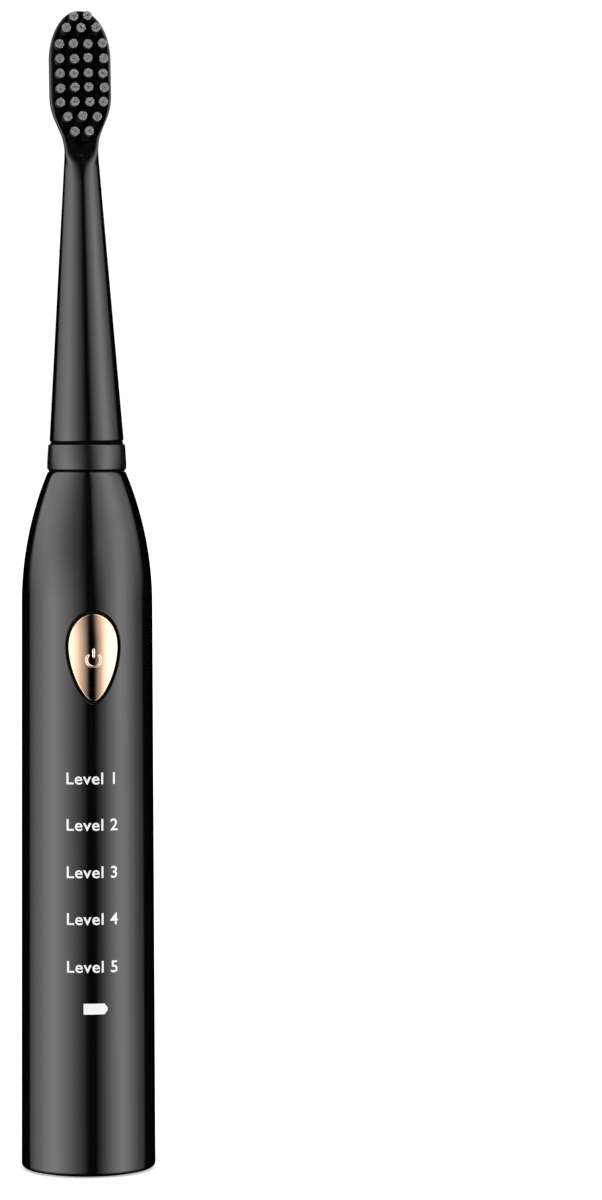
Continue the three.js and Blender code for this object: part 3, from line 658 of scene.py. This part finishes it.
# %% The pocket in the plate
RIM, POCKET, POCKET_SIDES, CUTTER_FRONT = 0.6, 0.9, 128, -4.0
POCKET_MIDDLE = (PLATE_LOW + PLATE_HIGH) / 2
POCKET_HALF, POCKET_UP, POCKET_DOWN = PLATE_HALF - RIM, PLATE_ARC - RIM, 10.6 - RIM


def in_pocket(x, z):
    """Says whether a point of the plate is inside the pocket's outline."""
    if z > PLATE_HIGH:
        return (x / POCKET_HALF) ** 2 + ((z - PLATE_HIGH) / POCKET_UP) ** 2 < 1
    if z < PLATE_LOW:
        return (x / POCKET_HALF) ** 2 + ((z - PLATE_LOW) / POCKET_DOWN) ** 2 < 1
    return abs(x) < POCKET_HALF


def pocket_reach(direction):
    """How far the pocket's edge is from its middle in one direction, found by halving."""
    low, high = 0.0, 20.0
    for _ in range(40):
        far = (low + high) / 2
        inside = in_pocket(far * math.cos(direction), POCKET_MIDDLE + far * math.sin(direction))
        low, high = (far, high) if inside else (low, far)
    return low


def pocket_ring(y):
    """A rule for a ring of the cutter, at depth y."""
    def rule(direction):
        far = pocket_reach(direction)
        height = POCKET_MIDDLE + HEAD_Z + far * math.sin(direction)
        return Vector((far * math.cos(direction), y, height)) * MM
    return rule


cutter = ring_of("pocket_cutter", POCKET_SIDES, pocket_ring(CUTTER_FRONT))
pocket_floor = pocket_ring(-PLATE_FRONT + POCKET)
next_loop(lambda point: pocket_floor(math.atan2(point.z - (POCKET_MIDDLE + HEAD_Z) * MM, point.x)))
close_ends(cutter)
leave(cutter)
pick(head)
carve = head.modifiers.new("pocket", "BOOLEAN")
carve.object, carve.operation, carve.solver = cutter, "DIFFERENCE", "EXACT"
bpy.ops.object.modifier_apply(modifier=carve.name)
bpy.data.objects.remove(cutter)
smooth(head, 30)

# %% Push the head on
HEAD_TURN, HEAD_LEAN, LEAN_FROM = -3.5, -0.9, 149.0
foot_point = Vector((0, 0, HEAD_Z * MM))
pushed_on = (Matrix.Translation(foot_point) @ Matrix.Rotation(math.radians(HEAD_LEAN), 4, "Y")
             @ Matrix.Rotation(math.radians(HEAD_TURN), 4, "Z") @ Matrix.Translation(-foot_point))
head.data.transform(pushed_on)
for vertex in lands[1].data.vertices:
    if vertex.co.z > LEAN_FROM * MM:
        vertex.co = pushed_on @ vertex.co
place(head, "brush_head", "head_black", "head_shell")

# %% [markdown]
# Each tuft is a bundle of nylon filaments, folded in half and stapled into the plate. A plain
# cylinder would show a flat disc, so each of the thirty tufts has its own filaments, each with a
# rounded tip. One filament is modelled and then copied into every place, with a small lean and a
# small difference in length. A filament has few faces, since there are about a thousand of them.
# The top row leans up towards the tip of the head, and the lower rows lean down a very little.

# %% One filament, then all of them
TUFT_ROWS = [2, 3, 4, 4, 4, 4, 4, 3, 2]
TUFT_PITCH, FIRST_ROW, ROW_PITCH, LAST_ROW = 2.9, 62.8, 2.9, 84.8
TUFT_TIP, TUFT_ROOT = -11.4, -0.55
TOP_ROW = len(TUFT_ROWS) - 1
LEAN_UP, LEAN_DOWN, LEAN_CURVE = {TOP_ROW: 0.85, TOP_ROW - 1: 0.1}, -0.25, 1.4
FILAMENT, FILAMENT_SIDES = 0.13, 6
BUNDLE = [(0.3, 6), (0.54, 12), (0.78, 17)]
seed = random.Random(7)

bpy.ops.object.select_all(action="DESELECT")
bpy.ops.mesh.primitive_circle_add(vertices=FILAMENT_SIDES, radius=FILAMENT * MM,
                                  rotation=(math.pi / 2, 0, 0), location=(0, TUFT_ROOT * MM, 0))
filament = bpy.context.object
filament.name = "filament"
bpy.ops.object.transform_apply(location=True, rotation=True, scale=True)
edit(filament)
bpy.ops.mesh.select_all(action="SELECT")
half_long, tip_round = (TUFT_TIP - TUFT_ROOT) / 2 * MM, 0.12 * MM
for travel, shrink in ((half_long, 1), (half_long + tip_round, 1), (-0.07 * MM, 0.8), (-0.05 * MM, 0.55)):
    bpy.ops.mesh.extrude_edges_move(TRANSFORM_OT_translate={"value": (0, travel, 0)})
    bpy.ops.transform.resize(value=(shrink, 1, shrink))
bpy.ops.mesh.edge_face_add()
bpy.ops.mesh.select_all(action="SELECT")
bpy.ops.mesh.normals_make_consistent(inside=False)
bpy.ops.object.mode_set(mode="OBJECT")
print("one filament", len(filament.data.polygons), "faces")

# %% The thirty tufts
def tuft_places():
    """Gives the row, the place across and the height of each tuft."""
    for row, count in enumerate(TUFT_ROWS):
        for k in range(count):
            yield row, (k - (count - 1) / 2) * TUFT_PITCH, min(FIRST_ROW + ROW_PITCH * row, LAST_ROW)


strands = []
for row, x, z in tuft_places():
    lean_up = LEAN_UP.get(row, LEAN_DOWN) + seed.uniform(-0.16, 0.16)
    lean_side = seed.uniform(-0.14, 0.14)
    reach_out = seed.uniform(-0.12, 0.05)
    for ring_radius, count in BUNDLE:
        for k in range(count):
            turn = TURN * (k + seed.uniform(-0.1, 0.1)) / count + ring_radius
            far = ring_radius + seed.uniform(-0.02, 0.02)
            strands.append((x + far * math.cos(turn), z + far * math.sin(turn),
                            lean_side + seed.uniform(-0.06, 0.06), lean_up + seed.uniform(-0.06, 0.06),
                            1 + (reach_out + seed.uniform(-0.08, 0.08)) / (TUFT_TIP - TUFT_ROOT)))

root_y = TUFT_ROOT * MM
faces = [list(polygon.vertices) for polygon in filament.data.polygons]
points, polygons = [], []
for x, z, lean_side, lean_up, stretch in strands:
    base = len(points)
    for co in [vertex.co for vertex in filament.data.vertices]:
        share = (co.y / MM - TUFT_ROOT) / (TUFT_TIP - TUFT_ROOT)
        bent = max(0.0, share) ** LEAN_CURVE
        points.append(((x + lean_side * bent) * MM + co.x,
                       root_y + (co.y - root_y) * stretch,
                       (z + HEAD_Z + lean_up * bent) * MM + co.z))
    polygons += [[base + i for i in face] for face in faces]
tufts_mesh = bpy.data.meshes.new("bristle_tufts")
tufts_mesh.from_pydata(points, [], polygons)
tufts = bpy.data.objects.new("bristle_tufts", tufts_mesh)
bpy.context.scene.collection.objects.link(tufts)
bpy.data.objects.remove(filament)
smooth(tufts, 60)
tufts.data.transform(pushed_on)
place(tufts, "brush_head", "bristle_grey", "bristle_block")
print(len(strands), "filaments in", sum(TUFT_ROWS), "tufts")

# %% [markdown]
# The mode column is printed in white ink: five words and a battery. The words only count the levels.
# Text is made flat, with a small offset that makes its strokes heavier, turned into a mesh and cut
# into narrow upright strips, so that it can bend round the tube without its letters becoming chords
# of it. The ink lies a fiftieth of a millimetre above the skin.

# %% Printed words and the battery
INK_LIFT, STRIP = 0.02, 0.35
CAP_HEIGHT, CAP_SHARE = 2.35, 0.7
WORD_MIDDLE, WORD_HEIGHTS = -0.4, [81.3, 71.9, 62.3, 52.8, 43.1]
WORD_BOLD, WORD_STRETCH, LETTER_GAP = 0.04, 1.06, 1.06


def print_on_tube(piece, middle_z, middle_u):
    """Cuts a flat mesh, drawn in mm across x and up y, into strips and lays it on the tube."""
    edit(piece)
    half = max(abs(vertex.co.x) for vertex in piece.data.vertices)
    steps = math.ceil(half / STRIP)
    for i in range(-steps, steps + 1):
        bpy.ops.mesh.select_all(action="SELECT")
        bpy.ops.mesh.bisect(plane_co=(i * STRIP, 0, 0), plane_no=(1, 0, 0))
    bpy.ops.object.mode_set(mode="OBJECT")
    for vertex in piece.data.vertices:
        vertex.co = rolled(vertex.co.x + middle_u, vertex.co.y + middle_z, INK_LIFT)
    leave_printed(piece)


def leave_printed(piece):
    """Turns the ink's faces away from the axis, whichever way the letters came."""
    edit(piece)
    bpy.ops.mesh.select_all(action="SELECT")
    bpy.ops.mesh.remove_doubles(threshold=2 * TOUCHING)
    bpy.ops.mesh.select_all(action="DESELECT")
    mesh = bmesh.from_edit_mesh(piece.data)
    for face in mesh.faces:
        face.normal_update()
        middle = face.calc_center_median()
        face.select_set(face.normal.x * middle.x + face.normal.y * middle.y < 0)
    bpy.ops.mesh.flip_normals()
    bpy.ops.object.mode_set(mode="OBJECT")


words = []
for number, height in enumerate(WORD_HEIGHTS, 1):
    bpy.ops.object.select_all(action="DESELECT")
    bpy.ops.object.text_add()
    word = bpy.context.object
    word.name = f"mode_word_{number}"
    word.data.body = f"Level {number}"
    word.data.size = CAP_HEIGHT / CAP_SHARE
    word.data.offset = WORD_BOLD
    word.data.space_character = LETTER_GAP
    word.data.align_x = "CENTER"
    word.data.resolution_u = 6
    bpy.ops.object.convert(target="MESH")
    word = bpy.context.object
    word.data.transform(Matrix.Diagonal((WORD_STRETCH, 1, 1, 1)) @ word.matrix_world)
    print_on_tube(word, height - CAP_HEIGHT / 2, WORD_MIDDLE)
    words.append(place(word, "handle", "light_white"))

# %% The battery symbol
BATTERY_Z, BATTERY_MIDDLE, BATTERY_HALF, BATTERY_TALL = 34.5, -0.1, 2.15, 2.2
TERMINAL = [(0.35, 0.5), (0.25, 0.75)]
bpy.ops.object.select_all(action="DESELECT")
bpy.ops.mesh.primitive_plane_add(size=1)
battery = bpy.context.object
battery.name = "battery_mark"
battery.scale = (2 * BATTERY_HALF, BATTERY_TALL, 1)
bpy.ops.object.transform_apply(location=True, rotation=True, scale=True)
edit(battery)
bpy.ops.mesh.select_mode(type="EDGE")
bpy.ops.mesh.select_all(action="DESELECT")
for edge in bmesh.from_edit_mesh(battery.data).edges:
    edge.select_set(all(vertex.co.x > 0 for vertex in edge.verts))
for travel, shrink in TERMINAL:
    bpy.ops.mesh.extrude_edges_move(TRANSFORM_OT_translate={"value": (travel, 0, 0)})
    bpy.ops.transform.resize(value=(1, shrink, 1))
bpy.ops.object.mode_set(mode="OBJECT")
print_on_tube(battery, BATTERY_Z, BATTERY_MIDDLE)
place(battery, "handle", "light_white")
words.append(battery)

# %% [markdown]
# Finishes are built from nodes. Two small tools keep that readable: a Wire is a socket that can be
# added and multiplied like a number, and a Finish makes any other node in one call. Patterns read
# Object coordinates in metres, so a grain of half a millimetre has a scale of 2000.

# %% Wires and nodes
class Wire:
    """One output socket. Sums with it add Math nodes."""

    def __init__(self, nodes, socket):
        self.nodes, self.socket = nodes, socket

    def math(self, operation, *values):
        return self.nodes.node("ShaderNodeMath", {"operation": operation}, dict(enumerate(values)))

    def __add__(self, other):
        return self.math("ADD", self, other)

    def __sub__(self, other):
        return self.math("SUBTRACT", self, other)

    def __rsub__(self, other):
        return self.math("SUBTRACT", other, self)

    def __mul__(self, other):
        return self.math("MULTIPLY", self, other)

    __radd__, __rmul__ = __add__, __mul__


class Nodes:
    """A node tree, and the one method that adds to it."""

    def __init__(self, tree):
        self.tree = tree

    def node(self, kind, settings=None, sockets=None, out=0):
        """Adds a node, sets it, fills or links its sockets, and gives back one of its outputs."""
        made = self.tree.nodes.new(kind)
        for key, value in (settings or {}).items():
            if key == "stops":
                stops = made.color_ramp.elements
                while len(stops) < len(value):
                    stops.new(0.5)
                for stop, (position, shade) in zip(stops, value):
                    stop.position = position
                    stop.color = (*shade, 1) if isinstance(shade, tuple) else (shade, shade, shade, 1)
            else:
                setattr(made, key, value)
        for key, value in (sockets or {}).items():
            if isinstance(value, Wire):
                self.tree.links.new(value.socket, made.inputs[key])
            else:
                made.inputs[key].default_value = value
        return Wire(self, made.outputs[out]) if made.outputs else made


class Finish(Nodes):
    """A material with one Principled shader."""

    def __init__(self, name, **constants):
        self.material = bpy.data.materials.new(name)
        self.material.use_nodes = True
        super().__init__(self.material.node_tree)
        self.shader = self.tree.nodes["Principled BSDF"]
        for key, value in constants.items():
            self.shader.inputs[key.replace("_", " ")].default_value = value
        self.place = self.node("ShaderNodeTexCoord", out=3)

    def noise(self, grain, detail=3.0, stretch=(1, 1, 1)):
        """Noise from 0 to 1, with a grain in mm."""
        spread = self.node("ShaderNodeMapping", {}, {"Vector": self.place, "Scale": stretch})
        return self.node("ShaderNodeTexNoise", {},
                         {"Vector": spread, "Scale": 1 / (grain * MM), "Detail": detail})

    def blend(self, share, first, second):
        """Goes from the first colour to the second. Either may be a wire."""
        first, second = (c if isinstance(c, Wire) else (*c, 1) for c in (first, second))
        return self.node("ShaderNodeMix", {"data_type": "RGBA"}, {0: share, 6: first, 7: second}, out=2)

    def ramp(self, wire, *stops):
        return self.node("ShaderNodeValToRGB", {"stops": stops}, {"Fac": wire})

    def bump(self, height, depth, strength):
        """A bump whose height is a share of depth, in mm."""
        return self.node("ShaderNodeBump", {},
                         {"Height": height, "Distance": depth * MM, "Strength": strength})

    def wear(self, **wires):
        """Links what changes over the surface to the shader, and gives back the material."""
        for key, wire in wires.items():
            self.tree.links.new(wire.socket, self.shader.inputs[key.replace("_", " ")])
        return self.material


def give(material, *pieces):
    """Makes this the only material of each piece."""
    for piece in pieces:
        piece.data.materials.clear()
        piece.data.materials.append(material)


# %% [markdown]
# The handle and the head are polished black ABS. Polished plastic isn't a perfect mirror: the mould
# leaves a very faint orange peel, and fingers leave patches that are a little duller. The black
# itself hardly varies. Dust-fine scratches would show only up close, so they are kept faint.

# %% Polished black
def polished(name, roughness, base, peel):
    finish = Finish(name)
    smudges = finish.noise(9.0, 4.0)
    scratches = finish.noise(0.35, 2.0, (1, 1, 0.12))
    marks = finish.ramp(smudges, (0.35, 0.0), (0.75, 1.0))
    shade = finish.blend(smudges, base, tuple(1.7 * c for c in base))
    dull = roughness + marks * 0.02 + scratches * 0.01
    orange_peel = finish.bump(finish.noise(1.4, 2.0), peel, 0.6)
    return finish.wear(Base_Color=shade, Roughness=dull, Normal=orange_peel)


JET = (0.0012, 0.0012, 0.0013)
shell_black = polished("polished black shell", 0.025, JET, 0.0006)
head_black = polished("polished black head", 0.04, JET, 0.0008)
give(shell_black, handle)
give(head_black, head)

# %% [markdown]
# Rose gold on the button is a thin plating over plastic. Its colour comes from the metal's own
# reflection, so it is metallic all over, with a trace of variation in tone and a fine polish grain
# that runs along the button. The raised mark is the same metal, brushed a little rougher, and its
# colour is painted lighter than the button's gold, as a painted highlight.

# %% Rose gold
def plated(name, roughness, light, dark):
    finish = Finish(name, Metallic=1.0)
    tone = finish.blend(finish.noise(3.0), light, dark)
    grain = finish.noise(0.25, 3.0, (1, 1, 0.08))
    return finish.wear(Base_Color=tone, Roughness=roughness + grain * 0.05,
                       Normal=finish.bump(grain, 0.0015, 0.4))


rose_gold = plated("rose gold plating", 0.05, (0.61, 0.42, 0.295), (0.57, 0.385, 0.27))
# The mark's lighter gold is a painted highlight: the same metal as the button, painted brighter.
mark_gold_painted_highlight = plated("rose gold raised mark with painted highlight", 0.2, (0.80, 0.58, 0.44), (0.72, 0.50, 0.37))
give(rose_gold, button)
give(mark_gold_painted_highlight, power_ring, power_bar)

# %% [markdown]
# The ring, the nose, the foot and the inlet are moulded with an eroded texture, which scatters the
# reflection into a soft band. Rubber is duller still and never quite black. The two lands at the
# bottom of the grooves hardly shine at all: their finish is painted shade, near black and barely
# reflecting, for the dark deep in the grooves.

# %% Satin black, rubber and small moulded parts
def moulded(name, roughness, light, dark, grain, depth, **constants):
    finish = Finish(name, **constants)
    patches = finish.noise(grain * 14, 3.0)
    pits = finish.noise(grain, 2.0)
    return finish.wear(Base_Color=finish.blend(patches, light, dark), Roughness=roughness + patches * 0.08,
                       Normal=finish.bump(pits, depth, 0.5))


satin = moulded("satin black moulding", 0.16, (0.004, 0.004, 0.0042), (0.006, 0.006, 0.006), 0.22, 0.006)
rubber = moulded("black silicone", 0.5, (0.002, 0.002, 0.002), (0.004, 0.004, 0.004), 0.3, 0.01,
                 Specular_IOR_Level=0.2)
# Painted shade for the two lands in the grooves: near black, with almost no reflection.
painted_groove_shade = moulded("painted groove shade", 0.8, (0.0006, 0.0006, 0.0006), (0.0012, 0.0012, 0.0012), 0.3, 0.01,
                 Specular_IOR_Level=0.02)
give(satin, neck_ring, nose, foot, jack)
give(rubber, seal, shaft_seal)
give(painted_groove_shade, *lands)

# %% [markdown]
# Nylon filaments are charcoal grey. Deep between the tufts they are shaded and look black, and their
# cut and rounded tips are frosted and paler. The colour carries that shade as painted shade: near black
# from the root to just before the tip, then pale at the frosted tips; each filament differs a little from
# its neighbours.

# %% Bristles
# Between PALE_FROM and PALE_AT, in mm along the filament, the painted root shade gives way to the pale
# tips.
PALE_FROM, PALE_AT = -10.7, TUFT_TIP + 0.25
tuft_finish = Finish("charcoal nylon with painted root shade")
forward = tuft_finish.node("ShaderNodeSeparateXYZ", {}, {"Vector": tuft_finish.place}, out=1)
toward_tip = tuft_finish.node("ShaderNodeMapRange", {}, {
    "Value": forward, "From Min": PALE_FROM * MM, "From Max": PALE_AT * MM})
fleck = tuft_finish.noise(0.25, 1.0, (1, 0.05, 1))
pale = tuft_finish.blend(fleck, (0.29, 0.29, 0.292), (0.40, 0.40, 0.402))
# Near black: painted shade of the deep gaps between the tufts, laid on most of each filament.
painted_root_shade = tuft_finish.blend(fleck, (0.004, 0.004, 0.004), (0.009, 0.009, 0.009))
nylon = tuft_finish.wear(Base_Color=tuft_finish.blend(toward_tip, painted_root_shade, pale),
                         Roughness=0.5 + fleck * 0.2, Normal=tuft_finish.bump(fleck, 0.01, 0.3))
give(nylon, tufts)

# %% [markdown]
# Printed ink is matt white, with a slightly uneven film.

# %% Ink
ink = Finish("white ink")
film = ink.noise(0.5, 3.0)
white_ink = ink.wear(Base_Color=ink.blend(film, (0.68, 0.68, 0.68), (0.76, 0.76, 0.76)),
                     Roughness=0.45 + film * 0.15, Normal=ink.bump(film, 0.004, 0.4))
give(white_ink, *words)

# %% [markdown]
# The rest of the toothbrush is inside, and its CAD solids already have the right shape. They keep
# their meshes and only get finishes: one recipe for moulded parts and one for metals.

# %% Finishes of the parts inside
def metal(name, light, dark, roughness, stretch):
    finish = Finish(name, Metallic=1.0)
    lines = finish.noise(0.4, 4.0, stretch)
    return finish.wear(Base_Color=finish.blend(lines, light, dark), Roughness=roughness + lines * 0.12,
                       Normal=finish.bump(lines, 0.004, 0.4))


steel = metal("ground steel", (0.36, 0.36, 0.37), (0.27, 0.27, 0.28), 0.36, (0.3, 0.3, 3))
inside = {
    "handle_black": shell_black, "satin_black": satin, "head_black": head_black, "seal_rubber": rubber,
    "rose_gold": rose_gold, "bristle_grey": nylon, "steel": steel,
    "bronze": metal("sintered bronze", (0.45, 0.30, 0.14), (0.34, 0.22, 0.10), 0.35, (1, 1, 1)),
    "copper": metal("enamelled copper", (0.66, 0.28, 0.13), (0.50, 0.19, 0.08), 0.2, (0.3, 0.3, 4)),
    "nickel": metal("nickel plate", (0.64, 0.62, 0.57), (0.54, 0.52, 0.48), 0.18, (1, 1, 1)),
    "frame_white": moulded("white moulding", 0.4, (0.72, 0.72, 0.69), (0.66, 0.66, 0.63), 0.3, 0.01),
    "board_green": moulded("green solder mask", 0.3, (0.03, 0.13, 0.06), (0.02, 0.09, 0.04), 0.25, 0.006),
    "chip_black": moulded("moulding compound", 0.5, (0.02, 0.02, 0.02), (0.028, 0.028, 0.028), 0.12, 0.01),
    "light_white": moulded("translucent white", 0.3, (0.86, 0.85, 0.78), (0.80, 0.79, 0.73), 0.3, 0.004),
    "cell_blue": moulded("blue shrink sleeve", 0.3, (0.05, 0.15, 0.42), (0.04, 0.11, 0.34), 0.6, 0.01),
    "foam_grey": moulded("grey foam", 0.85, (0.25, 0.25, 0.24), (0.16, 0.16, 0.155), 0.35, 0.08),
    "lead_red": moulded("red insulation", 0.4, (0.38, 0.03, 0.02), (0.30, 0.02, 0.015), 0.4, 0.01),
    "lead_black": moulded("black insulation", 0.4, (0.015, 0.015, 0.015), (0.022, 0.022, 0.022), 0.4, 0.01),
}
give(steel, shaft)
for subpart in frame["record"]["subparts"]:
    give(inside[subpart["material_slot"]], frame["nodes"][subpart["node"]])
print(len(inside), "finishes on", len(frame["nodes"]), "CAD nodes")

# %% [markdown]
# A gloss black tube is seen only by what it reflects, so the light is the material. Two tall soft
# boxes stand at its left and right, each brightest off to its side and fading towards the camera,
# with a dark gap in front and cards that cut them off behind. They are drawn into the world by
# azimuth, for reflections only. Level with the brush they are a little brighter than higher up, where
# each reaches further round, so one pair is drawn for low rays and one for high rays, and the two are
# blended. What is matt sees an even white room.

# %% The studio
LIGHT_PEAK, ROOM = 4.4, 1.1
HIGH_FROM, HIGH_ALL = -0.015, 0.285
LOW_LEFT = [(-180, 0.0), (-128, 0.0), (-125, 0.5), (-115, 1.0), (-99, 2.1), (-85, 3.3), (-70, 4.35),
            (-65, 4.3), (-48, 3.2), (-37, 2.3), (-26, 1.35), (-16, 0.7), (-6, 0.06), (-4, 0.0)]
LOW_RIGHT = [(7, 0.0), (10, 0.12), (20, 0.9), (25, 1.4), (31, 2.1), (42, 3.2), (48, 3.8), (55, 4.1),
             (66, 3.4), (72, 2.6), (86, 1.3), (94, 0.75), (106, 0.35), (110, 0.0), (180, 0.0)]
HIGH_LEFT = [(-180, 0.0), (-136, 0.0), (-127, 2.0), (-107, 2.7), (-94, 3.2), (-82, 3.15), (-70, 2.95),
             (-60, 2.5), (-50, 1.95), (-40, 1.45), (-31, 1.0), (-21, 0.65), (-13, 0.2), (-5, 0.02)]
HIGH_RIGHT = [(4, 0.02), (10, 0.6), (15, 1.25), (25, 2.0), (34, 2.5), (44, 3.2), (54, 3.7), (65, 3.75),
              (76, 3.0), (89, 2.0), (104, 1.35), (112, 0.8), (118, 0.0), (180, 0.0)]
FADE = [(0.06, 0.0), (0.29, 1.0), (0.9, 1.0), (0.99, 0.5)]
world = bpy.data.worlds.new("studio")
world.use_nodes = True
bpy.context.scene.world = world
world.cycles.sampling_method = "NONE"
sky = Nodes(world.node_tree)
sky.tree.nodes.clear()
ray = sky.node("ShaderNodeTexCoord")
ray_x, ray_y, ray_z = (sky.node("ShaderNodeSeparateXYZ", {}, {"Vector": ray}, out=axis) for axis in "XYZ")
azimuth = ray_x.math("ARCTAN2", ray_x, ray_y * -1) * (1 / TURN) + 0.5


def boxes(left, right):
    """Both soft boxes, as brightness by azimuth in degrees."""
    light = 0
    for stops, side in ((left, "LESS_THAN"), (right, "GREATER_THAN")):
        shades = [(turn / 360 + 0.5, bright / LIGHT_PEAK) for turn, bright in stops]
        part = sky.node("ShaderNodeValToRGB", {"stops": shades}, {"Fac": azimuth})
        light = part * azimuth.math(side, azimuth, 0.5) * LIGHT_PEAK + light
    return light


rising = sky.node("ShaderNodeMapRange", {}, {"Value": ray_z, "From Min": HIGH_FROM, "From Max": HIGH_ALL})
low_light, high_light = boxes(LOW_LEFT, LOW_RIGHT), boxes(HIGH_LEFT, HIGH_RIGHT)
box_light = low_light * (1 - rising) + high_light * rising
height = sky.node("ShaderNodeMapRange", {}, {"Value": ray_z, "From Min": -1.0, "From Max": 1.0})
fade = sky.node("ShaderNodeValToRGB", {"stops": FADE}, {"Fac": height})
glossy_ray = sky.node("ShaderNodeLightPath", out="Is Glossy Ray")
strength = glossy_ray * box_light * fade + (1 - glossy_ray) * ROOM
glow = sky.node("ShaderNodeBackground", {}, {"Color": (1, 1, 1, 1), "Strength": strength})
sky.node("ShaderNodeOutputWorld", {}, {"Surface": glow})
print("soft boxes", len(LOW_LEFT), "and", len(LOW_RIGHT), "stops")

# %% [markdown]
# The floor is a wide pale sheet. It glows a little, so that it is as evenly bright as the background
# and runs into it without a horizon. It is left out of reflections, so the boxes alone shape them.

# %% The floor
FLOOR_HALF, FLOOR_GLOW = 6.0, 0.4
bpy.ops.object.select_all(action="DESELECT")
bpy.ops.mesh.primitive_plane_add(size=2 * FLOOR_HALF)
floor = bpy.context.object
floor.name = "floor"
paper = Finish("pale paper", Specular_IOR_Level=0.0, Emission_Color=(1, 1, 1, 1),
               Emission_Strength=FLOOR_GLOW)
tooth = paper.noise(1.2, 2.0)
pale_paper = paper.wear(Base_Color=paper.blend(tooth, (0.96, 0.96, 0.96), (0.98, 0.98, 0.98)),
                        Roughness=0.85 + tooth * 0.1, Normal=paper.bump(tooth, 0.02, 0.2))
give(pale_paper, floor)
floor.visible_glossy = False
print("floor", 2 * FLOOR_HALF, "m wide")

# %% [markdown]
# The camera stands about 0.93 m away, a little above the ring at the neck and a little to the left
# of the button's own direction, and looks slightly down through a long lens. The brush is at the left
# of the picture because the camera is turned, not shifted.

# %% The camera
CAMERA_FAR, CAMERA_HIGH, CAMERA_AZIMUTH = 933.0, 158.0, -5.5
LENS, PITCH, YAW, ROLL = 136.86, 2.535, 2.689, 0.04
camera_data = bpy.data.cameras.new("camera")
camera_data.lens = LENS
camera_data.sensor_width = 36
camera_data.clip_end = 50
camera = bpy.data.objects.new("camera", camera_data)
bpy.context.scene.collection.objects.link(camera)
side = math.radians(CAMERA_AZIMUTH)
camera.location = Vector((CAMERA_FAR * math.sin(side), -CAMERA_FAR * math.cos(side), CAMERA_HIGH)) * MM
camera.rotation_euler = (math.radians(90 - PITCH), math.radians(ROLL), side - math.radians(YAW))
bpy.context.scene.camera = camera
bpy.context.scene.view_settings.view_transform = "Standard"
bpy.context.scene.view_settings.look = "None"
print("camera at", [round(c, 4) for c in camera.location])
